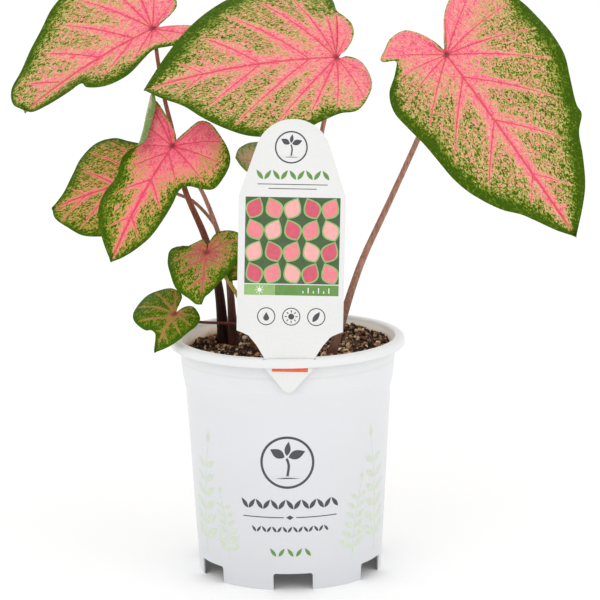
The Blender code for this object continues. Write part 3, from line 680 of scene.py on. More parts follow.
def shape_blade(leaf, half):
    """Bend the flat points, sink the veins and puff the skin between them."""
    flat, out = half["flat"], half["out"]
    size = midrib_length(leaf) / 100.0
    strength = np.clip(1.1 - out, 0.1, 1.0)
    midrib = distance_to_midrib(flat)
    line = np.minimum(half["apart"] / strength, midrib * 0.8)
    channel = CHANNEL_DEPTH * np.exp(-(line / CHANNEL_WIDTH) ** 2) * strength
    across = np.sin(np.pi * (half["share"] * leaf["veins"])) ** 2
    puff = PUFF_HEIGHT * size * across * np.sin(np.pi * np.clip(out, 0.0, 1.0)) ** 0.8
    _, _, face = leaf_axes(leaf)
    half["rib"] = np.exp(-(line / (RIB_WIDTH + 0.9 * size * strength)) ** 2) * strength
    half["midrib"] = midrib
    half["place"] = bend_leaf(leaf, flat, out) + (puff - channel)[..., None] * face
    return half


# %% A whole blade, from a grid to a thick leaf
MARGIN_POINTS = 160
UV_SPAN = 100.0


def note_measures(blade, whole, grid, phase):
    """Keep the measures on the blade's points, and its flat places and veins as two UV maps."""
    for measure in ("vein", "midrib", "green", "mixed"):
        values = blade.data.attributes.new(measure, "FLOAT", "POINT")
        values.data.foreach_set("value", whole[measure][grid].astype(np.float32))
    corner = np.empty(len(blade.data.loops), dtype=int)
    blade.data.loops.foreach_get("vertex_index", corner)
    sheet = blade.data.uv_layers.active or blade.data.uv_layers.new(name="flat")
    sheet.name = "flat"
    sheet.data.foreach_set("uv", whole["flat"][grid][corner].ravel() / UV_SPAN)
    veinwise = blade.data.uv_layers.new(name="veins")
    veinwise.data.foreach_set("uv", np.stack([phase, whole["out"][grid]], axis=1)[corner].ravel())


def thicken(blade, whole, grid):
    """Give the blade its thickness, thin at the margin and thick along the veins."""
    group = blade.vertex_groups.new(name="thickness")
    thickness = BLADE_THICKNESS + (RIB_THICKNESS - BLADE_THICKNESS) * whole["rib"][grid]
    thickness *= np.clip(0.55 + whole["edge"][grid] / 4.0, 0.0, 1.0)
    for index, weight in enumerate(thickness / RIB_THICKNESS):
        group.add([index], weight, "REPLACE")
    thick = blade.modifiers.new("thickness", "SOLIDIFY")
    thick.thickness = RIB_THICKNESS * MM
    thick.offset = -1.0
    thick.vertex_group = "thickness"
    thick.material_offset = 1
    thick.material_offset_rim = 0


def close_tip(blade, face):
    """Merge the points that meet at the tip and the notch, and turn the upper face up."""
    bpy.ops.object.mode_set(mode="EDIT")
    bpy.ops.mesh.select_all(action="SELECT")
    bpy.ops.mesh.remove_doubles(threshold=0.015 * MM)
    bpy.ops.mesh.dissolve_degenerate(threshold=0.005 * MM)
    bpy.ops.object.mode_set(mode="OBJECT")
    lean = sum((part.normal * part.area for part in blade.data.polygons), Vector())
    if lean.dot(Vector(face)) < 0.0:
        blade.data.flip_normals()


def make_blade(name, leaf, columns, rings):
    sides = ("left", "right")
    margin = np.concatenate([half_outline(leaf, side, MARGIN_POINTS) for side in sides])
    left, right = (
        shape_blade(leaf, half_blade(leaf, side, margin, columns, rings)) for side in sides)
    whole = {key: np.concatenate([right[key][::-1], left[key][1:]], axis=0) for key in left}
    rays = leaf["veins"] * columns

    deselect()
    bpy.ops.mesh.primitive_grid_add(x_subdivisions=2 * rays, y_subdivisions=rings, size=1.0)
    blade = started("blade_" + name)
    spots = points_of(blade) * MM
    column = np.rint((spots[:, 0] + 0.5) * 2 * rays).astype(int)
    row = np.rint((spots[:, 1] + 0.5) * rings).astype(int)
    grid = (column, row)
    move_points(blade, whole["place"][grid])
    phase = leaf["veins"] * whole["share"][grid] * np.where(column < rays, -1.0, 1.0)
    note_measures(blade, whole, grid, phase)
    thicken(blade, whole, grid)
    close_tip(blade, leaf_axes(leaf)[2])
    dress(blade, [leaf_face[leaf["skin"]], leaf_back], "leaf_" + name)
    apply_modifiers(blade)
    smooth(blade, 70.0)
    return blade


# %% [markdown]
# ## Leaf colours
#
# Close up, the blade is a mosaic. Each tiny patch of cells is pink, cream, yellow-green or green,
# and how many there are of each changes from place to place. Two Voronoi textures give every patch
# its own chance, the share of green from the blade shifts that chance, and a colour ramp turns it
# into a colour. Over that lie the veins, as thin lines of deeper pink.

# %% A node group that breaks a smooth share into specks
# Two sizes of speck: the width of a speck, how far it is drawn out, and its weight.
FINE_SPECKS = (0.50, 1.5, 0.72)
COARSE_SPECKS = (0.95, 1.8, 0.28)
DRIFT = 0.22


def make_speckle_group():
    group = bpy.data.node_groups.new("leaf specks", "ShaderNodeTree")
    for name, way, kind in (
            ("Place", "INPUT", "NodeSocketVector"), ("Green", "INPUT", "NodeSocketFloat"),
            ("Spread", "INPUT", "NodeSocketFloat"), ("Speckled", "OUTPUT", "NodeSocketFloat"),
            ("Grain", "OUTPUT", "NodeSocketFloat"), ("Hue", "OUTPUT", "NodeSocketFloat")):
        group.interface.new_socket(name=name, in_out=way, socket_type=kind)
    given = node(group, "NodeGroupInput").outputs
    result = node(group, "NodeGroupOutput").inputs
    chances, hues = [], []
    for size, stretch, weight in (FINE_SPECKS, COARSE_SPECKS):
        cells = node(group, "ShaderNodeTexVoronoi", voronoi_dimensions="2D")
        spread_out = (UV_SPAN / size / stretch, UV_SPAN / size, 1.0)
        feed(cells.inputs["Vector"], scaled(given["Place"], spread_out))
        feed(cells.inputs["Scale"], 1.0)
        split = node(group, "ShaderNodeSeparateColor")
        feed(split.inputs["Color"], cells.outputs["Color"])
        chances.append(times(split.outputs["Red"], weight))
        hues.append(split.outputs["Green"])
    grain = plus(*chances)
    drift = sway(noise(given["Place"], 14.0, 2.0), DRIFT)
    speckled = plus(plus(given["Green"], times(less(grain, 0.5), given["Spread"])), drift)
    feed(result["Speckled"], speckled)
    feed(result["Grain"], grain)
    feed(result["Hue"], times(hues[0], plus(hues[1], 0.55), True))
    return group


speckle_group = make_speckle_group()
print("node group:", speckle_group.name)

# %% The upper face of a blade
# Each row of colours runs from pink to green. A skin mixes a warmer row with a fresher one.
PINK_TO_GREEN = (
    (0.00, (0.78, 0.09, 0.17)), (0.14, (0.95, 0.19, 0.27)), (0.27, (0.88, 0.27, 0.25)),
    (0.37, (0.74, 0.31, 0.17)), (0.46, (0.61, 0.29, 0.14)), (0.55, (0.47, 0.28, 0.10)),
    (0.65, (0.35, 0.29, 0.06)), (0.77, (0.23, 0.25, 0.03)), (0.89, (0.105, 0.165, 0.005)),
    (1.00, (0.040, 0.092, 0.001)))
PINK_TO_FRESH_GREEN = (
    (0.00, (0.78, 0.10, 0.19)), (0.15, (0.95, 0.22, 0.30)), (0.29, (0.90, 0.37, 0.31)),
    (0.40, (0.81, 0.50, 0.28)), (0.50, (0.70, 0.55, 0.24)), (0.60, (0.53, 0.50, 0.17)),
    (0.72, (0.34, 0.40, 0.08)), (0.85, (0.16, 0.24, 0.02)), (1.00, (0.045, 0.100, 0.002)))
PINK_TO_GOLD_GREEN = (
    (0.00, (0.84, 0.09, 0.17)), (0.15, (0.97, 0.20, 0.26)), (0.29, (0.86, 0.29, 0.20)),
    (0.40, (0.66, 0.36, 0.12)), (0.52, (0.51, 0.40, 0.07)), (0.65, (0.37, 0.38, 0.04)),
    (0.80, (0.19, 0.26, 0.012)), (1.00, (0.045, 0.105, 0.002)))
YOUNG_PINK_TO_GREEN = (
    (0.00, (0.55, 0.10, 0.09)), (0.22, (0.62, 0.19, 0.14)), (0.38, (0.43, 0.27, 0.08)),
    (0.52, (0.31, 0.30, 0.04)), (0.68, (0.16, 0.23, 0.010)), (0.82, (0.085, 0.165, 0.003)),
    (1.00, (0.045, 0.115, 0.002)))
YOUNG_PINK_TO_GOLD_GREEN = (
    (0.00, (0.50, 0.12, 0.09)), (0.22, (0.60, 0.29, 0.18)), (0.42, (0.50, 0.45, 0.11)),
    (0.60, (0.34, 0.40, 0.04)), (0.80, (0.13, 0.22, 0.006)), (1.00, (0.05, 0.125, 0.002)))
PALE_PINK_TO_GREEN = (
    (0.00, (0.62, 0.30, 0.24)), (0.40, (0.52, 0.42, 0.24)), (0.70, (0.33, 0.37, 0.15)),
    (1.00, (0.19, 0.24, 0.07)))
GREEN_TO_GOLD_GREEN = (
    (0.00, (0.42, 0.16, 0.07)), (0.25, (0.36, 0.24, 0.05)), (0.45, (0.29, 0.28, 0.03)),
    (0.65, (0.17, 0.23, 0.012)), (0.82, (0.085, 0.165, 0.004)), (1.00, (0.045, 0.115, 0.002)))
VEIN_RED = (0.66, 0.065, 0.09)
JUNCTION_BROWN = (0.22, 0.035, 0.04)
STREAK_STRENGTH = 0.95
WIDEST_SPREAD = 1.20
JUNCTION_REACH = 5.0


def place_specks(tree, place, green, spread):
    specks = node(tree, "ShaderNodeGroup")
    specks.node_tree = speckle_group
    for name, value in (("Place", place), ("Green", green), ("Spread", spread)):
        feed(specks.inputs[name], value)
    return specks.outputs


def make_leaf_face(name, warm_stops, fresh_stops, veins, vein_strength):
    """Streaks along the veins move the share of green, specks break it up, and veins lie on it."""
    material, tree, shader = new_material(name, 0.5, 0.05)
    place = uv_place(tree, "flat")
    streaks = noise(scaled(uv_place(tree, "veins"), (9.0, 2.8, 1.0)), 1.0, 4.0, 0.66)
    swing = times(sway(streaks, STREAK_STRENGTH), attribute(tree, "mixed"))
    green = plus(attribute(tree, "green"), swing)
    off_middle = reckon("ABSOLUTE", less(green, 0.6))
    specks = place_specks(tree, place, green, less(WIDEST_SPREAD, times(off_middle, 1.7)))
    warm = ramp(specks["Speckled"], warm_stops)
    fresh = ramp(specks["Speckled"], fresh_stops)
    skin = blend(specks["Hue"], warm, fresh)
    wander = sway(noise(place, 40.0, 2.0), 0.6)
    side_veins = mask(plus(attribute(tree, "vein"), wander), 0.12, 0.62)
    midrib = mask(plus(attribute(tree, "midrib"), wander), 0.20, 0.85)
    pink_part = less(1.4, times(green, 1.7), True)
    amount = times(reckon("MAXIMUM", side_veins, midrib), pink_part)
    colour = blend(times(amount, vein_strength), skin, veins)
    spot = mask(times(from_origin(place), UV_SPAN / JUNCTION_REACH), 0.12, 0.60)
    colour = blend(times(spot, 0.75), colour, JUNCTION_BROWN)
    feed(shader.inputs["Base Color"], colour)
    bump(shader, specks["Grain"], 0.25, 0.12)
    return material


leaf_face = {
    skin: make_leaf_face("leaf face, " + skin, *look) for skin, look in {
        "pink": (PINK_TO_GREEN, PINK_TO_FRESH_GREEN, VEIN_RED, 0.8),
        "golden": (PINK_TO_GREEN, PINK_TO_GOLD_GREEN, VEIN_RED, 0.8),
        "young": (YOUNG_PINK_TO_GREEN, YOUNG_PINK_TO_GOLD_GREEN, (0.62, 0.13, 0.11), 0.8),
        "pale": (PALE_PINK_TO_GREEN, PALE_PINK_TO_GREEN, (0.60, 0.22, 0.18), 0.5),
        "greenest": (YOUNG_PINK_TO_GREEN, GREEN_TO_GOLD_GREEN, (0.40, 0.22, 0.07), 0.5),
    }.items()}

# %% The underside of a blade
BACK_PINK_TO_GREEN = (
    (0.0, (0.60, 0.22, 0.18)), (0.3, (0.62, 0.35, 0.25)), (0.5, (0.50, 0.46, 0.25)),
    (0.75, (0.29, 0.36, 0.15)), (1.0, (0.13, 0.22, 0.04)))
BACK_VEIN = (0.52, 0.38, 0.24)


def make_leaf_back():
    """The same pattern as above, paler and softer, with pale raised veins."""
    material, tree, shader = new_material("leaf underside", 0.55)
    specks = place_specks(tree, uv_place(tree, "flat"), attribute(tree, "green"), 0.5)
    line = mask(times(attribute(tree, "vein"), 0.4), 0.10, 0.45)
    skin = ramp(specks["Speckled"], BACK_PINK_TO_GREEN)
    feed(shader.inputs["Base Color"], blend(times(line, 0.5), skin, BACK_VEIN))
    bump(shader, specks["Grain"], 0.2, 0.1)
    return material


leaf_back = make_leaf_back()
print("leaf materials:", len(leaf_face) + 1)

# %% Make the nine blades, the large ones finer than the small ones
COLUMNS_PER_VEIN = 18
RINGS = 54
SMALL_LEAF = 45.0

for name, leaf in LEAVES.items():
    share = 1 if midrib_length(leaf) > SMALL_LEAF else 2
    blade = make_blade(name, leaf, COLUMNS_PER_VEIN // share, RINGS // share)
    print(blade.name, "triangles:", triangles(blade))

# %% [markdown]
# ## Petioles
#
# Each leaf stands on its own petiole, a smooth round stem that comes out of the soil and leans
# outwards. It is thickest at the soil. A curve with a round bevel is the quickest way to make one:
# the points give its route, and each point's radius its taper. The route is the solid's own.

# %% Where the petioles run
# For each: its skin, its radius under the blade and in the soil, the points that the stem passes
# through below its junction, and the place on the tuber that it grows from (x, y).
PETIOLES = {
    "upper_left": ("dark", 1.1, 4.2, (
        (-68, 54, 270), (-67, 55, 261), (-64, 52, 243), (-60, 46, 227), (-54, 36, 198),
        (-43, 27, 172), (-36.5, 21, 148), (-34, 18.5, 116)), (-33, 19)),
    "upper_middle": ("pinkish brown", 1.2, 2.6, (
        (26, 20, 259), (24, 24, 248), (20, 26, 231), (13, 24, 195), (6, 20, 153), (2, 18, 117)),
        (7, 16)),
    "upper_right": ("painted sunlit", 1.4, 3.0, (
        (80.5, 0, 260), (75.5, 4, 242), (67.5, 7, 223), (53.5, 9, 192), (40, 9, 163), (33.5, 2, 147),
        (28.3, -9, 133), (23, -17, 118)), (21, 3)),
    "side_front": ("pinkish brown", 1.0, 4.0, (
        (-54, 0, 218), (-50, 3, 211), (-44, 6, 201), (-36, 9, 179), (-31.5, 11, 160), (-30, 12, 147),
        (-28.5, 12.5, 119)), (-25.5, 11.5)),
    "side_back": ("pinkish brown", 0.9, 1.5, (
        (-64, 28, 199), (-57, 36, 194), (-50, 40, 190), (-40, 37, 180), (-33, 31, 168),
        (-25, 27, 149), (-19, 24, 131), (-16, 24, 118)), (-19, 20)),
    "small_middle": ("olive", 1.0, 2.3, (
        (-39, -3, 167), (-32, -1, 156), (-26, 1, 146), (-20, 4, 132), (-18, 7, 118)), (-19, 9)),
    "small_low": ("young", 0.7, 0.9, (
        (-53, -7, 135), (-46, -4, 133), (-35, 2, 131), (-26, 2, 130), (-18, 2, 125), (-14, 2, 115)),
        (-16, 4)),
    "young_curled": ("olive", 0.9, 1.4, (
        (0, -6, 208), (0, -2, 189), (1, 2, 164), (1, 4, 137), (1, 4, 116)), (5, 6)),
    "young_dark": ("olive", 0.8, 1.3, (
        (-13, 8, 162), (-11, 12, 149), (-8, 14, 133), (-8, 15, 116)), (-10, 14)),
}
print("petioles:", len(PETIOLES))


# %% Petiole colours
def make_petiole_skin(name, low, high, fade_from, fade_to):
    """Brown near the soil and paler above, with fine dark specks drawn out along the stem."""
    material, tree, shader = new_material(name, 0.5, 0.10)
    place = object_place(tree)
    climb = remap(height_of(place), fade_from * MM, fade_to * MM, way="SMOOTHSTEP")
    long_grain = noise(scaled(place, (1.0, 1.0, 0.12)), 900.0, 3.0)
    streaks = ramp(long_grain, ((0.30, (0.52, 0.50, 0.48)), (0.70, WHITE)))
    streaked = blend(1.0, blend(climb, low, high), streaks, "MULTIPLY")
    specks = mask(noise(scaled(place, (1.0, 1.0, 0.35)), 1500.0, 2.0), 0.68, 0.60, False)
    colour = blend(times(specks, 0.6), streaked, tuple(value * 0.8 for value in low))
    feed(shader.inputs["Base Color"], colour)
    bump(shader, long_grain, 0.3, 0.1)
    return material


petiole_skin = {
    skin: make_petiole_skin("petiole, " + skin, *look) for skin, look in {
        "pinkish brown": ((0.080, 0.028, 0.017), (0.56, 0.28, 0.205), 122.0, 200.0),
        "dark": ((0.030, 0.010, 0.006), (0.42, 0.15, 0.095), 128.0, 215.0),
        # The front right stem's skin is the pinkish brown painted lighter, most at its foot, as a stem
        # in light: painted light.
        "painted sunlit": ((0.17, 0.085, 0.055), (0.56, 0.29, 0.215), 116.0, 172.0),
        "olive": ((0.24, 0.12, 0.04), (0.66, 0.52, 0.13), 116.0, 146.0),
        "young": ((0.16, 0.05, 0.04), (0.38, 0.16, 0.13), 118.0, 190.0),
    }.items()}
print("petiole skins:", len(petiole_skin))

# %% Make the petioles
TUBER_TOP = 86.0
PETIOLE_TAPER = 2.4
PETIOLE_DROP = 0.9
PETIOLE_STUB = 4.6
PETIOLE_STEP = 2.0
SHEATH_SWELL = 0.15
SHEATH_HEIGHT = 9.0
SOIL_LINE = 116.0


def petiole_route(name):
    """Even places down the stem and their radii. The stem leaves its blade square to its face, and
    swells a little where it is sheathed at the soil."""
    _, top_radius, foot_radius, route, root = PETIOLES[name]
    _, _, face = leaf_axes(LEAVES[name])
    junction = np.array(LEAVES[name]["junction"], float)
    start = [junction - face * PETIOLE_DROP, junction - face * (PETIOLE_DROP + PETIOLE_STUB)]
    path = smooth_through([*start, *route, (*root, TUBER_TOP)])
    places, share = evenly(path, round(way_along(path)[-1] / PETIOLE_STEP))
    radii = top_radius + (foot_radius - top_radius) * share ** PETIOLE_TAPER
    above = np.clip(places[:, 2] - SOIL_LINE, 0.0, None)
    return places, radii * (1.0 + SHEATH_SWELL * np.exp(-above / SHEATH_HEIGHT))


for name in PETIOLES:
    places, radii = petiole_route(name)
    curve = bpy.data.curves.new("stem", "CURVE")
    curve.dimensions = "3D"
    curve.bevel_depth = MM
    curve.bevel_resolution = 4
    curve.use_fill_caps = True
    line = add_line(curve, places)
    line.points.foreach_set("radius", radii)
    stem = to_mesh("stem_" + name, curve, 0.01)
    dress(stem, [petiole_skin[PETIOLES[name][0]]], "petiole_" + name)
    smooth(stem)
print("petioles made:", len(PETIOLES))

# %% [markdown]
# ## The pot
#
# A nursery pot is moulded from one thin sheet of white plastic: a tapered wall, a small step and a
# collar, a lip that hooks outwards, a raised floor, and a foot with notches that let water run out.
# A round thing like this is quickest to turn: half its section is drawn as a line of points and
# spun once round. The notches, drain holes and the slot for the label are then cut out of it.

# %% The pot's section
POT_HEIGHT = 125.0
FOOT_RADIUS = 48.0
STEP_RADIUS = 53.8
STEP_HEIGHT = 98.7
COLLAR_RADIUS = 55.3
COLLAR_HEIGHT = 104.6
NECK_RADIUS = 56.6
NECK_HEIGHT = 119.5
LIP_RADIUS = 61.4
LIP_EDGE_HEIGHT = 120.2
LIP_ROUND = 2.6
LIP_THICKNESS = 1.2
WALL = 1.1
FLOOR_HEIGHT = 9.8
FLOOR_TOP = FLOOR_HEIGHT + 1.4
FLOOR_CORNER = 2.2
POT_STEPS = 240


def outer_radius(height):
    """The pot's outside at a height: foot to step, a short flare, then collar to neck."""
    return np.interp(
        height, (0.0, STEP_HEIGHT, COLLAR_HEIGHT, NECK_HEIGHT),
        (FOOT_RADIUS, STEP_RADIUS, COLLAR_RADIUS, NECK_RADIUS))


def wall_line(heights, inset=0.0):
    """Points of the section down or up the wall, some way in from its outside."""
    return [(outer_radius(z) - inset, z) for z in heights]


def arc(centre, radius, start, end, count):
    angles = np.radians(np.linspace(start, end, count))
    return [(centre[0] + radius * math.cos(a), centre[1] + radius * math.sin(a)) for a in angles]


def pot_section():
    """Half the section, from the middle of the floor up the inside, over the lip and down."""
    inner = outer_radius(FLOOR_TOP) - WALL
    inside = [(0.0, FLOOR_TOP), (20.0, FLOOR_TOP), (38.0, FLOOR_TOP)]
    inside += arc((inner - FLOOR_CORNER, FLOOR_TOP + FLOOR_CORNER), FLOOR_CORNER, -90.0, 0.0, 6)
    inside += wall_line((40.0, 70.0, STEP_HEIGHT - 0.8), WALL)
    inside += wall_line((COLLAR_HEIGHT - 1.0, COLLAR_HEIGHT + 1.0), WALL)
    neck = NECK_RADIUS - WALL
    inside += [(neck - 0.02, NECK_HEIGHT - 1.5), (neck + 0.1, NECK_HEIGHT + 1.5)]
    bend = (LIP_RADIUS - LIP_ROUND, POT_HEIGHT - LIP_ROUND)
    crown = arc((NECK_RADIUS + 0.9, POT_HEIGHT - 1.6), 1.6, 165.0, 90.0, 7)
    crown += arc(bend, LIP_ROUND, 90.0, 12.0, 9)
    edge = arc((LIP_RADIUS - 0.5, LIP_EDGE_HEIGHT + 0.5), 0.5, 0.0, -180.0, 7)
    under = arc(bend, LIP_ROUND - LIP_THICKNESS, 12.0, 90.0, 6)
    under += arc((NECK_RADIUS + 1.5, POT_HEIGHT - LIP_THICKNESS - 1.5), 1.5, 90.0, 180.0, 6)
    outside = [(NECK_RADIUS, NECK_HEIGHT), (COLLAR_RADIUS + 0.1, COLLAR_HEIGHT + 1.2)]
    outside += [(COLLAR_RADIUS, COLLAR_HEIGHT + 0.3), (COLLAR_RADIUS - 0.25, COLLAR_HEIGHT - 0.4)]
    outside += [(STEP_RADIUS + 0.45, STEP_HEIGHT + 1.4), (STEP_RADIUS + 0.1, STEP_HEIGHT + 0.5)]
    outside += wall_line((STEP_HEIGHT - 0.5, 80.0, 60.0, 40.0, 20.0, 0.5))
    foot = [(FOOT_RADIUS - 0.2, 0.0), (FOOT_RADIUS - 1.4, 0.0)]
    foot += wall_line((FLOOR_HEIGHT,), WALL + 0.4) + [(20.0, FLOOR_HEIGHT), (0.0, FLOOR_HEIGHT)]
    return inside + crown + edge + under + outside + foot


def turned(name, section, steps):
    """Spin a section once round the upright axis into a closed shape."""
    line = bpy.data.meshes.new(name)
    corners = [(r * MM, 0.0, z * MM) for r, z in section]
    line.from_pydata(corners, [(i, i + 1) for i in range(len(corners) - 1)], [])
    piece = placed(name, line)
    bpy.ops.object.mode_set(mode="EDIT")
    bpy.ops.mesh.select_all(action="SELECT")
    bpy.ops.mesh.spin(steps=steps, angle=math.tau, center=(0.0, 0.0, 0.0), axis=(0.0, 0.0, 1.0))
    bpy.ops.object.mode_set(mode="OBJECT")
    clean(piece, 0.005)
    return piece


pot = turned("pot_body", pot_section(), POT_STEPS)
print("pot faces:", len(pot.data.polygons))

# %% Cut the notches, the drain holes and the label's slot
NOTCHES = 6
NOTCH_WIDTH = 20.3
NOTCH_HEIGHT = 8.9
NOTCH_TURN = 1.5
NOTCH_CORNER = 1.2
DRAIN_RADIUS = 4.0
DRAIN_RING_RADIUS = 30.0
LABEL_X = 0.65
LABEL_Y = -58.3
LABEL_NECK_HALF_WIDTH = 12.7
LABEL_THICKNESS = 0.8
SLOT_FLOOR = 2.6


def cutter_box(place, size, turn, corner):
    deselect()
    bpy.ops.mesh.primitive_cube_add(size=1.0, location=[value * MM for value in place])
    box = started("cutter")
    box.scale = [value * MM for value in size]
    box.rotation_euler.z = math.radians(turn)
    settle(box)
    if corner:
        rounded = box.modifiers.new("corner", "BEVEL")
        rounded.width = corner * MM
        rounded.segments = 4
        apply_modifiers(box)
    return box


def cutter_rod(place, radius, height):
    deselect()
    bpy.ops.mesh.primitive_cylinder_add(
        vertices=32, radius=radius * MM, depth=height * MM, location=[value * MM for value in place])
    rod = started("cutter")
    settle(rod)
    return rod


def cut_out(piece, cutters):
    """Cut several shapes out of a piece, one after another."""
    for cutter in cutters:
        opening = piece.modifiers.new("opening", "BOOLEAN")
        opening.operation = "DIFFERENCE"
        opening.solver = "EXACT"
        opening.object = cutter
        apply_modifiers(piece)
        bpy.data.objects.remove(cutter, do_unlink=True)


# One long box cuts two notches that face each other.
cutters = []
notch_size = (NOTCH_WIDTH, 2.6 * FOOT_RADIUS, NOTCH_HEIGHT + 6.0)
notch_place = (0.0, 0.0, NOTCH_HEIGHT - notch_size[2] / 2.0)
for index in range(NOTCHES // 2):
    turn = NOTCH_TURN + index * 360.0 / NOTCHES
    cutters.append(cutter_box(notch_place, notch_size, turn, NOTCH_CORNER))
for index in range(NOTCHES):
    turn = math.radians(NOTCH_TURN + (index + 0.5) * 360.0 / NOTCHES)
    spot = (DRAIN_RING_RADIUS * math.cos(turn), DRAIN_RING_RADIUS * math.sin(turn), 10.5)
    cutters.append(cutter_rod(spot, DRAIN_RADIUS, 8.0))
slot_size = (2.0 * LABEL_NECK_HALF_WIDTH + 1.0, LABEL_THICKNESS + 0.7, 6.0)
slot_place = (LABEL_X, LABEL_Y, LIP_EDGE_HEIGHT + SLOT_FLOOR + slot_size[2] / 2.0)
cutters.append(cutter_box(slot_place, slot_size, 0.0, 0.0))
cut_out(pot, cutters)
smooth(pot, 35.0)
print("pot faces after cutting:", len(pot.data.polygons))

# %% White moulded plastic
# Heights are shares of the pot's, and distances from its axis are shares of its neck's radius.
# The inside of the lip glows a little over its soil stain: painted light.
PAINTED_WALL_GLOW = 0.22
# The whites below grow darker and bluer towards the foot and paler at the lip: painted shade.
POT_WHITES_AND_PAINTED_SHADE = (
    (0.05, (0.665, 0.680, 0.700)), (0.75, (0.735, 0.742, 0.765)), (1.00, (0.795, 0.800, 0.800)))
# Soil stains inside the lip, whose colours also tint its painted glow.
STAIN_AND_GLOW_WHITES = (
    (0.960, (0.30, 0.17, 0.09)), (0.985, (0.74, 0.60, 0.45)), (1.020, (0.81, 0.76, 0.68)))
# The white plastic under the floor, inside the foot, is painted dark grey: painted shade.
UNDER_FLOOR_PAINTED_SHADE = (0.16, 0.155, 0.15)


def make_pot_white():
    """Cool white with faint clouds, hair-fine scuffs and painted shade towards the foot, soil stains
    and a painted glow inside the lip, and painted shade under the floor.
    """
    material, tree, shader = new_material("pot, white plastic", 0.32)
    place = object_place(tree)
    height = times(height_of(place), 1.0 / (POT_HEIGHT * MM))
    away = from_origin(scaled(place, (1.0 / (NECK_RADIUS * MM), 1.0 / (NECK_RADIUS * MM), 0.0)))
    # Painted shade: the white darkens towards the foot.
    white = ramp(plus(height, sway(noise(place, 25.0, 3.0), 0.25)), POT_WHITES_AND_PAINTED_SHADE)
    stain_and_painted_glow = ramp(plus(height, times(noise(place, 90.0, 4.0, 0.65), 0.08)), STAIN_AND_GLOW_WHITES)
    # Inside the lip the white is soil-stained and glows with painted light.
    inside_lip = times(mask(away, 0.984, 0.990), mask(height, 0.910, 0.900))
    # Painted shade: under the floor the white is painted dark grey.
    under_floor_painted_shade = times(mask(away, 0.838, 0.842), mask(height, 0.083, 0.085))
    colour = blend(under_floor_painted_shade, blend(inside_lip, white, stain_and_painted_glow), UNDER_FLOOR_PAINTED_SHADE)
    feed(shader.inputs["Base Color"], colour)
    # The glow inside the lip is painted light, not a lamp.
    feed(shader.inputs["Emission Color"], stain_and_painted_glow)
    feed(shader.inputs["Emission Strength"], times(inside_lip, PAINTED_WALL_GLOW))
    scuffs = noise(scaled(place, (1.0, 1.0, 14.0)), 60.0, 5.0, 0.6)
    feed(shader.inputs["Roughness"], remap(scuffs, 0.35, 0.75, 0.30, 0.38))
    bump(shader, noise(place, 350.0, 2.0), 0.04, 0.03)
    return material


dress(pot, [make_pot_white()], "pot")

# %% [markdown]
# ## The plant label
#
# The label is a card of thin plastic with an arched head. Its neck passes through a slot in the lip
# and its point shows below, flat against the pot. The outline is drawn as a curve, given its
# thickness, turned upright and leant a little, as it stands in the photograph.

# %% Make the card
LABEL_LEAN = 1.8
LABEL_HALF_WIDTH = 26.8
LABEL_SHOULDER = 14.0
LABEL_BODY_TOP = 82.5
LABEL_TOP = 121.6
LABEL_HEAD_RADIUS = 19.0
LABEL_TAPER_TOP = -6.0
LABEL_TIP = -17.7
LABEL_TIP_RADIUS = 4.0
CARD_EDGE = 0.15


def label_half():
    """The label's right half, from the tip up to the top of its head, in its own plane."""
    taper = (LABEL_NECK_HALF_WIDTH - 0.8, LABEL_TAPER_TOP)
    slope = math.degrees(math.atan2(taper[0], taper[1] - LABEL_TIP))
    tip = arc((0.0, LABEL_TIP + LABEL_TIP_RADIUS), LABEL_TIP_RADIUS, -90.0, slope - 90.0, 8)
    neck = [taper, (LABEL_NECK_HALF_WIDTH, 0.0)]
    shoulder = [(LABEL_NECK_HALF_WIDTH + 4.0, 6.6), (LABEL_NECK_HALF_WIDTH + 8.0, 11.4),
                (LABEL_HALF_WIDTH - 2.5, LABEL_SHOULDER - 0.9), (LABEL_HALF_WIDTH, LABEL_SHOULDER)]
    head = arc((0.0, LABEL_TOP - LABEL_HEAD_RADIUS), LABEL_HEAD_RADIUS, 18.7, 90.0, 24)
    return tip + neck + shoulder + [(LABEL_HALF_WIDTH, LABEL_BODY_TOP)] + head


def flat_shape(name, outlines, depth):
    """Fill closed outlines, with any inner ones as holes, and give them a depth."""
    curve = bpy.data.curves.new(name, "CURVE")
    curve.dimensions = "2D"
    curve.fill_mode = "BOTH"
    curve.extrude = depth / 2.0 * MM
    for outline in outlines:
        add_line(curve, outline).use_cyclic_u = True
    return to_mesh(name, curve, 0.002)


def stand_in_lip(piece, forward=0.0):
    """Turn a shape drawn in the label's plane upright and seat it in the pot's lip."""
    piece.location = (LABEL_X * MM, (LABEL_Y - forward) * MM, POT_HEIGHT * MM)
    piece.rotation_euler = (math.radians(90.0), math.radians(LABEL_LEAN), 0.0)
    settle(piece)


half = label_half()
card = flat_shape("label_card", [half + [(-x, y) for x, y in reversed(half[1:-1])]], LABEL_THICKNESS)
stand_in_lip(card)
worn = card.modifiers.new("soft edge", "BEVEL")
worn.width = CARD_EDGE * MM
worn.segments = 2
worn.limit_method = "ANGLE"
apply_modifiers(card)
smooth(card, 35.0)


def grained(name, colours, roughness, scale, detail, stops):
    """A plain colour that wavers between two shades. Returns the material, shader and pattern."""
    material, tree, shader = new_material(name, roughness)
    pattern = noise(object_place(tree), scale, detail)
    feed(shader.inputs["Base Color"], ramp(pattern, tuple(zip(stops, colours))))
    return material, shader, pattern


CARD_WHITE = (0.80, 0.80, 0.785)
card_shades = (tuple(value * 0.965 for value in CARD_WHITE), CARD_WHITE)
card_white, shader, grain = grained("label, white card", card_shades, 0.38, 900.0, 2.0, (0.3, 0.7))
bump(shader, grain, 0.08, 0.03)
dress(card, [card_white], "label")
print("label points:", len(card.data.vertices))

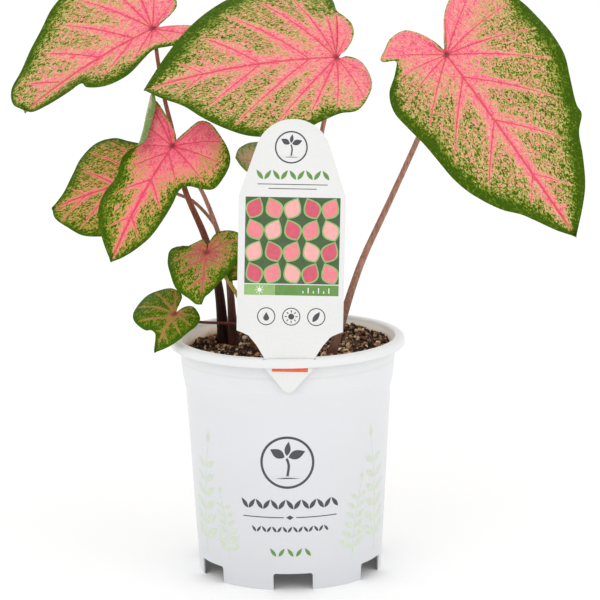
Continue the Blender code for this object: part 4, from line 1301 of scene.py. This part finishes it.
# %% [markdown]
# ## Printed ornament
#
# The pot and its label are printed. Their ornament here is a plain one: leafy sprigs in pale green
# round the pot, a seedling in a ring, and rows of small leaves. Ink has almost no thickness, so
# each colour is a film of a few hundredths of a millimetre, drawn flat as filled outlines. On the
# label it stays flat. On the pot it is cut into narrow strips and wrapped round the wall, so that
# it follows the curve.

# %% Outlines to draw with
def disc(centre, radius, count=40):
    return arc(centre, radius, 0.0, 360.0 - 360.0 / count, count)


def bar(x0, y0, x1, y1):
    return [(x0, y0), (x1, y0), (x1, y1), (x0, y1)]


def diamond(x, y, size):
    return [(x - size, y), (x, y - size * 0.6), (x + size, y), (x, y + size * 0.6)]


def almond(base, tip, width, count=10):
    """A leaf that is pointed at both ends and widest before its middle."""
    base, tip = np.array(base, float), np.array(tip, float)
    along = tip - base
    side = np.array([-along[1], along[0]]) / np.linalg.norm(along)
    shares = np.linspace(0.0, 1.0, count + 1)
    swell = side * (width / 2.0 * np.sin(math.pi * shares ** 0.85))[:, None]
    middle = base + along * shares[:, None]
    return [tuple(point) for point in np.vstack([middle + swell, (middle - swell)[-2:0:-1]])]


def stroke(points, width, tip_width=None):
    """A line of some width through points, tapering to its tip."""
    path = smooth_through(np.array(points, float), 5)
    along = np.gradient(path, axis=0)
    side = np.stack([-along[:, 1], along[:, 0]], axis=1)
    side /= np.linalg.norm(along, axis=1, keepdims=True)
    half = side * np.linspace(width, tip_width or width, len(path))[:, None] / 2.0
    return [tuple(point) for point in np.vstack([path + half, (path - half)[::-1]])]


def leaf_row(y, half_width, count, size):
    """A row of small leaves that lean to and fro."""
    row = []
    for index, x in enumerate(np.linspace(-half_width, half_width, count)):
        tilt = 0.35 * size if index % 2 else -0.35 * size
        row.append(almond((x - tilt, y - size / 2.0), (x + tilt, y + size / 2.0), size * 0.42))
    return row


def rays_around(centre, near, far, count, width):
    """Short strokes that point outwards from a centre."""
    rays = []
    for a in math.tau * np.arange(count) / count:
        away = ((r * math.cos(a), r * math.sin(a)) for r in (near, (near + far) / 2.0, far))
        rays.append(stroke([(centre[0] + x, centre[1] + y) for x, y in away], width))
    return rays


def drop(x, y, size):
    """A drop of water."""
    return arc((x, y - 0.25 * size), 0.62 * size, -215.0, 35.0, 16) + [(x, y + size)]


def seedling(centre, size):
    """Two leaves and a bud on a short stem over a line of ground, inside a ring."""
    def at(*spots):
        return [(centre[0] + x * size, centre[1] + y * size) for x, y in spots]

    stem = stroke(at((0.0, -0.52), (0.05, -0.1), (-0.02, 0.16)), 0.09 * size)
    ground = stroke(at((-0.58, -0.60), (0.0, -0.54), (0.58, -0.60)), 0.07 * size)
    leaves = [almond(*at(base, tip), width * size) for base, tip, width in (
        ((0.05, 0.20), (0.66, 0.42), 0.34), ((-0.10, 0.20), (-0.62, 0.50), 0.34),
        ((-0.02, 0.26), (0.06, 0.80), 0.22))]
    return [disc(centre, size), disc(centre, size * 0.91), stem, ground] + leaves


def sprig(root, height, lean, pairs, leaf_length):
    """A stem that rises and leans, with pairs of leaves that get shorter towards its top."""
    stem_width = 0.7
    gap = stem_width / 2.0 + 0.25

    def on_stem(t):
        return root[0] + lean * t * t, root[1] + height * t

    outlines = [stroke([on_stem(t) for t in np.linspace(0.0, 1.0, 6)], stem_width, 0.3)]
    for t in 0.14 + 0.78 * np.arange(pairs) / pairs:
        x, y = on_stem(t)
        size = leaf_length * (1.0 - 0.5 * t)
        for hand in (-1.0, 1.0):
            near = x + hand * gap
            tip = (near + hand * size * 0.86, y + size * 0.55)
            outlines.append(almond((near, y + 0.2), tip, size * 0.40))
    top = (root[0] + lean, root[1] + height + 0.6)
    tip = (top[0] + lean * 0.12, top[1] + leaf_length * 0.55)
    outlines.append(almond(top, tip, leaf_length * 0.24))
    return outlines


# %% Inks
def make_ink(name, colour):
    """Printed colour with the faint unevenness of a thin film."""
    pale = tuple(min(1.0, value * 1.10 + 0.012) for value in colour)
    return grained("ink, " + name, (colour, pale), 0.4, 500.0, 3.0, (0.35, 0.70))[0]


INKS = {
    name: make_ink(name, colour) for name, colour in {
        "dark grey": (0.050, 0.054, 0.066), "pale green": (0.60, 0.665, 0.55),
        "green": (0.115, 0.26, 0.05), "dark green": (0.045, 0.10, 0.030),
        "light green": (0.26, 0.45, 0.14), "rose": (0.62, 0.085, 0.14), "pink": (0.80, 0.22, 0.25),
        "blush": (0.86, 0.40, 0.38), "orange": (0.82, 0.13, 0.045), "white": (0.86, 0.86, 0.84),
    }.items()}
print("inks:", len(INKS))

# %% Print on the pot
INK_DEPTH = 0.05
STRIP_WIDTH = 2.5


def wrap_on_pot(shape, turn):
    """Cut a flat shape into strips and wrap it round the wall, turned from the front in degrees."""
    strips = bmesh.new()
    strips.from_mesh(shape.data)
    xs = [vertex.co.x for vertex in strips.verts]
    for x in np.arange(min(xs), max(xs), STRIP_WIDTH * MM)[1:]:
        everything = strips.verts[:] + strips.edges[:] + strips.faces[:]
        bmesh.ops.bisect_plane(
            strips, geom=everything, plane_co=(float(x), 0.0, 0.0), plane_no=(1.0, 0.0, 0.0))
    strips.to_mesh(shape.data)
    strips.free()
    flat = points_of(shape)
    radius = outer_radius(flat[:, 1])
    angle = flat[:, 0] / radius + math.radians(turn)
    away = radius + flat[:, 2] + INK_DEPTH * 0.6
    move_points(shape, np.stack([away * np.sin(angle), -away * np.cos(angle), flat[:, 1]], axis=1))


def print_on_pot(name, ink, outlines, turn=0.0):
    film = flat_shape("print_" + name, outlines, INK_DEPTH)
    wrap_on_pot(film, turn)
    smooth(film, 30.0)
    dress(film, [INKS[ink]])


rows = leaf_row(46.5, 24.0, 13, 5.2)
rows += [bar(-25.0, 39.2, -3.2, 39.7), bar(3.2, 39.2, 25.0, 39.7), diamond(0.0, 39.45, 2.0)]
rows += leaf_row(33.0, 19.0, 15, 3.2)
for side, turn in (("front", 0.0), ("back", 180.0)):
    print_on_pot("seedling_" + side, "dark grey", seedling((-1.0, 69.0), 14.0), turn)
    print_on_pot("rows_" + side, "dark grey", rows, turn)
    print_on_pot("ground_" + side, "green", leaf_row(20.5, 9.0, 5, 4.4), turn)

# Each sprig: how far round the pot it stands, how far it leans, its height and its leaves' length.
SPRIGS = (
    (-62.0, 8.0, 60.0, 13.0), (-40.0, -4.0, 34.0, 9.0), (41.0, 5.0, 40.0, 10.0),
    (63.0, -8.0, 62.0, 13.0), (92.0, 6.0, 36.0, 10.0), (120.0, -6.0, 58.0, 13.0),
    (142.0, 4.0, 34.0, 9.0), (-142.0, -5.0, 38.0, 10.0), (-120.0, 7.0, 60.0, 13.0),
    (-91.0, -5.0, 34.0, 10.0))
for number, (turn, lean, height, length) in enumerate(SPRIGS, 1):
    print_on_pot(f"sprig_{number}", "pale green", sprig((0.0, 14.0), height, lean, 6, length), turn)
print("pieces of print on the pot:", 6 + len(SPRIGS))


# %% Print on the label
def print_on_label(name, ink, outlines, layer=0):
    """Lay a film on the label's face. A higher layer lies over a lower one."""
    film = flat_shape("label_" + name, outlines, INK_DEPTH * 0.6)
    stand_in_lip(film, LABEL_THICKNESS / 2.0 + INK_DEPTH * (0.3 + 0.4 * layer))
    dress(film, [INKS[ink]])


LEFT, RIGHT = -23.3, 24.1
PANEL_BOTTOM, PANEL_TOP = 38.3, 82.3
BAND_BOTTOM, BAND_TOP = 32.4, 37.8
PANEL_COLUMNS = 5
PANEL_ROWS = 4
print_on_label("seedling", "dark grey", seedling((-1.0, 107.5), 8.2))
print_on_label("leaves", "green", leaf_row(93.6, 16.5, 9, 4.8))
print_on_label("rules", "dark grey", [bar(-17.5, 88.6, 17.5, 89.0), bar(-12.0, 86.4, 12.0, 86.8)])
print_on_label("panel", "dark green", [bar(LEFT, PANEL_BOTTOM, RIGHT, PANEL_TOP)])
print_on_label("band_left", "light green", [bar(LEFT, BAND_BOTTOM, -8.0, BAND_TOP)])
print_on_label("band_right", "green", [bar(-7.9, BAND_BOTTOM, RIGHT, BAND_TOP)])
print_on_label("tip_bar", "orange", [bar(-8.6, -7.0, 9.6, -4.4)])

# %% Drawn leaves on the panel, each a rim with a smaller leaf on it
width, height = (RIGHT - LEFT) / PANEL_COLUMNS, (PANEL_TOP - PANEL_BOTTOM) / PANEL_ROWS
rims = []
hearts = {"rose": [], "pink": [], "blush": []}
for column in range(PANEL_COLUMNS):
    for row in range(PANEL_ROWS):
        centre = np.array([LEFT + (column + 0.5) * width, PANEL_BOTTOM + (row + 0.5) * height])
        reach = np.array([2.6 if (column + row) % 2 else -2.6, height * 0.49])
        rims.append(almond(centre - reach, centre + reach, width * 0.96, 14))
        ink = list(hearts)[(column + 2 * row) % 3]
        hearts[ink].append(almond(centre - 0.86 * reach, centre + 0.86 * reach, width * 0.78, 14))
print_on_label("panel_rims", "light green", rims, 1)
for ink, leaves in hearts.items():
    print_on_label("panel_" + ink, ink, leaves, 2)
print("drawn leaves:", len(rims))

# %% The band's small marks and the three round signs for care
SUN = (-15.6, 35.1)
SIGN_HEIGHT = 21.5
SIGN_PLACES = (-12.0, 0.6, 13.2)
print_on_label("sun", "white", [disc(SUN, 1.1, 20)] + rays_around(SUN, 1.5, 2.2, 8, 0.35), 1)
ticks = [bar(6.0 + 2.6 * i, 33.6, 6.5 + 2.6 * i, 34.8 + (i % 2) * 1.6) for i in range(6)]
print_on_label("ticks", "white", ticks, 1)
signs = [disc((x, SIGN_HEIGHT), radius) for x in SIGN_PLACES for radius in (4.6, 4.1)]
signs += [drop(SIGN_PLACES[0], 21.3, 2.4)]
signs += [disc((SIGN_PLACES[1], SIGN_HEIGHT), 1.5, 20)]
signs += rays_around((SIGN_PLACES[1], SIGN_HEIGHT), 2.1, 3.2, 8, 0.5)
signs += [almond((11.4, 18.9), (15.0, 24.2), 2.6)]
print_on_label("care_icons", "dark grey", signs)
print("pieces of print on the label: 14")

# %% [markdown]
# ## Potting soil
#
# Potting soil is dark peat with chips of bark and white grains of perlite. Its surface is one
# finely cut disc that rises and falls, and the larger crumbs and chips lie on it as small stones
# of a few faces, each turned, stretched and toned by chance. The chance is seeded, so the same
# crumbs come back each time.

# %% The soil's surface
SOIL_HEIGHT = 116.6
SOIL_RADIUS = 54.25
SOIL_RINGS = 110
SOIL_STEPS = 300
SOIL_GAP = 0.4
SOIL_FOOT = (46.0, 11.8)
SOIL_SIDE = (110.0, 90.0, 50.0, 14.0)
SOIL_TOP_FROM = 111.0
SOIL_SEED = 7

# Swells that run every way over the soil: how long their waves are, and how high they rise.
SWELLS = ((9.0, 0.5), (4.0, 0.45), (2.0, 0.4), (1.1, 0.3))
SWELL_WAYS = 8
SWELL_EVENING = 2.8


def soil_top(x, y):
    """Height of the soil's lumpy top: it lies higher at the right and the back."""
    tilt = 0.035 * x + 0.05 * y
    lumps = 1.1 * np.sin(0.19 * x + 0.6) * np.cos(0.17 * y - 0.4)
    crumbs = 0.6 * np.sin(0.41 * x + 0.33 * y + 1.0)
    return SOIL_HEIGHT + tilt + lumps + crumbs


chance = np.random.RandomState(SOIL_SEED)
section = [(SOIL_RADIUS * ring / SOIL_RINGS, SOIL_HEIGHT) for ring in range(SOIL_RINGS + 1)]
section += wall_line(SOIL_SIDE, WALL + SOIL_GAP)
section += [SOIL_FOOT, (0.0, SOIL_FOOT[1])]
soil = turned("soil_body", section, SOIL_STEPS)
places = points_of(soil)
on_top = places[:, 2] > SOIL_TOP_FROM
x, y = places[on_top, 0], places[on_top, 1]
height = soil_top(x, y)
for size, depth in SWELLS:
    turns = chance.uniform(0.0, math.tau, SWELL_WAYS)
    shifts = chance.uniform(0.0, math.tau, SWELL_WAYS)
    for turn, shift in zip(turns, shifts):
        way = x * np.cos(turn) + y * np.sin(turn)
        height += depth / SWELL_EVENING * np.sin(math.tau / size * way + shift)
places[on_top, 2] = height
move_points(soil, places)
smooth(soil, 60.0)
print("soil faces:", len(soil.data.polygons))


# %% Crumbs, bark and perlite
def make_stone():
    """A small ball of a few dozen triangles, to copy: its points and its faces."""
    deselect()
    bpy.ops.mesh.primitive_uv_sphere_add(segments=6, ring_count=4, radius=1.0)
    stone = started("stone")
    places, faces = points_of(stone) * MM, [tuple(part.vertices) for part in stone.data.polygons]
    bpy.data.objects.remove(stone, do_unlink=True)
    return places, faces


STONE, STONE_FACES = make_stone()
SCATTER_RADIUS = 53.0
SMALL_ONES = 2.2
DENTING = 2.6
LEANING = 0.35


def chance_stone(smallest, largest, flatness, roughness, sink):
    """One stone's points, with a size, dents, a turn and a place of its own."""
    away = SCATTER_RADIUS * math.sqrt(chance.uniform())
    around = chance.uniform(0.0, math.tau)
    x, y = away * math.cos(around), away * math.sin(around)
    size = smallest + (largest - smallest) * chance.uniform() ** SMALL_ONES
    stretch = np.array([1.0, chance.uniform(0.5, 0.95), flatness * chance.uniform(0.7, 1.2)]) * size
    waves = np.sin(STONE @ chance.normal(0.0, DENTING, (3, 3))).sum(axis=1, keepdims=True)
    turn = Quaternion(chance.normal(0.0, 1.0, 4)).normalized()
    lean = Quaternion((0.0, 0.0, 1.0), chance.uniform(0.0, math.tau)).slerp(turn, LEANING)
    shape = (STONE * (1.0 + roughness * waves / 2.0) * stretch) @ np.array(lean.to_matrix()).T
    return shape + np.array([x, y, soil_top(x, y) + size * flatness * (1.0 - sink)])


def scatter(name, count, *shape):
    """Lay copies of one small stone on the soil, as one piece that keeps each stone's tone."""
    stones, tones = [], []
    for _ in range(count):
        stones.append(chance_stone(*shape))
        tones.append(chance.uniform())
    faces = [tuple(corner + len(STONE) * number for corner in face)
             for number in range(count) for face in STONE_FACES]
    mesh = bpy.data.meshes.new(name)
    mesh.from_pydata(np.concatenate(stones) * MM, [], faces)
    values = mesh.attributes.new("tone", "FLOAT", "POINT")
    values.data.foreach_set("value", np.repeat(np.array(tones, np.float32), len(STONE)))
    piece = placed(name, mesh)
    smooth(piece, 50.0)
    print(name, "triangles:", triangles(piece))
    return piece


# How many there are, the smallest and largest size, flatness, roughness, and how far each is sunk.
crumbs = scatter("soil_crumbs", 3600, 0.4, 1.5, 0.75, 0.35, 0.25)
bark = scatter("soil_bark", 380, 0.8, 2.6, 0.45, 0.30, 0.1)
perlite = scatter("soil_perlite", 200, 0.5, 1.7, 0.85, 0.18, 0.1)


# %% Soil colours
def make_earth(name, stops, roughness, grain_size, relief, toned=True):
    """Shades of earth by fine grain and slow patches, and by each stone's own tone if it has one."""
    material, tree, shader = new_material("soil, " + name, roughness, 0.3)
    place = object_place(tree)
    grain = noise(place, 1.0 / (grain_size * MM), 4.0, 0.65)
    mixed = plus(times(attribute(tree, "tone"), 0.7), times(grain, 0.35)) if toned else grain
    mixed = plus(mixed, sway(noise(place, 140.0, 2.0), 0.7))
    feed(shader.inputs["Base Color"], ramp(mixed, stops))
    bump(shader, grain, 0.9, relief)
    return material


peat = make_earth("peat", (
    (0.30, (0.006, 0.004, 0.003)), (0.48, (0.030, 0.016, 0.010)), (0.62, (0.13, 0.065, 0.035)),
    (0.76, (0.36, 0.21, 0.12))), 0.9, 1.6, 0.9, toned=False)
crumb_brown = make_earth("crumbs", (
    (0.12, (0.008, 0.004, 0.003)), (0.40, (0.055, 0.025, 0.014)), (0.58, (0.24, 0.115, 0.06)),
    (0.80, (0.60, 0.38, 0.22))), 0.85, 0.8, 0.4)
bark_brown = make_earth("bark", (
    (0.10, (0.016, 0.007, 0.004)), (0.40, (0.11, 0.042, 0.020)), (0.65, (0.30, 0.12, 0.058)),
    (0.90, (0.50, 0.27, 0.15))), 0.7, 1.2, 0.5)
perlite_white = make_earth("perlite", (
    (0.10, (0.60, 0.40, 0.26)), (0.50, (0.80, 0.64, 0.47)), (0.90, (0.94, 0.87, 0.76))),
    0.8, 0.7, 0.3)
dress(soil, [peat], "soil")
for stones, earth in ((crumbs, crumb_brown), (bark, bark_brown), (perlite, perlite_white)):
    dress(stones, [earth])

# %% [markdown]
# ## Floor and light
#
# The photograph has a white floor that runs into a white background, and light from all round with
# a little more from the upper left, so the shadows are soft and pale.

# %% Floor and lamps
FLOOR_SIZE = 30.0
FLOOR_WHITE = (0.97, 0.97, 0.97, 1.0)
FLOOR_GLOW = 0.05
LAMP_SIZE = 1.0
LIGHT_WHITE = (1.0, 1.0, 1.0, 1.0)

deselect()
bpy.ops.mesh.primitive_plane_add(size=FLOOR_SIZE)
floor = started("floor")
floor_white, tree, shader = new_material("studio floor", 0.8)
feed(shader.inputs["Base Color"], FLOOR_WHITE)
feed(shader.inputs["Emission Color"], LIGHT_WHITE)
feed(shader.inputs["Emission Strength"], FLOOR_GLOW)
floor.data.materials.append(floor_white)


def soft_lamp(name, place, target, power):
    deselect()
    bpy.ops.object.light_add(type="AREA", location=place)
    lamp = bpy.context.object
    lamp.name = name
    lamp.data.shape = "SQUARE"
    lamp.data.size = LAMP_SIZE
    lamp.data.energy = power
    lamp.rotation_euler = (Vector(target) - Vector(place)).to_track_quat("-Z", "Y").to_euler()


# Each lamp: where it stands, what it points at, and its power.
LAMPS = {
    "key lamp": ((-0.9, -1.4, 1.5), (0.0, 0.0, 0.18), 3.0),
    "fill lamp": ((1.3, -1.0, 0.8), (0.0, 0.0, 0.15), 2.0)}
for name, look in LAMPS.items():
    soft_lamp(name, *look)
world = bpy.data.worlds.new("studio")
bpy.context.scene.world = world
world.use_nodes = True
background = world.node_tree.nodes["Background"]
feed(background.inputs["Color"], LIGHT_WHITE)
feed(background.inputs["Strength"], 1.0)
bpy.context.scene.view_settings.view_transform = "Standard"
print("lamps:", len(LAMPS))
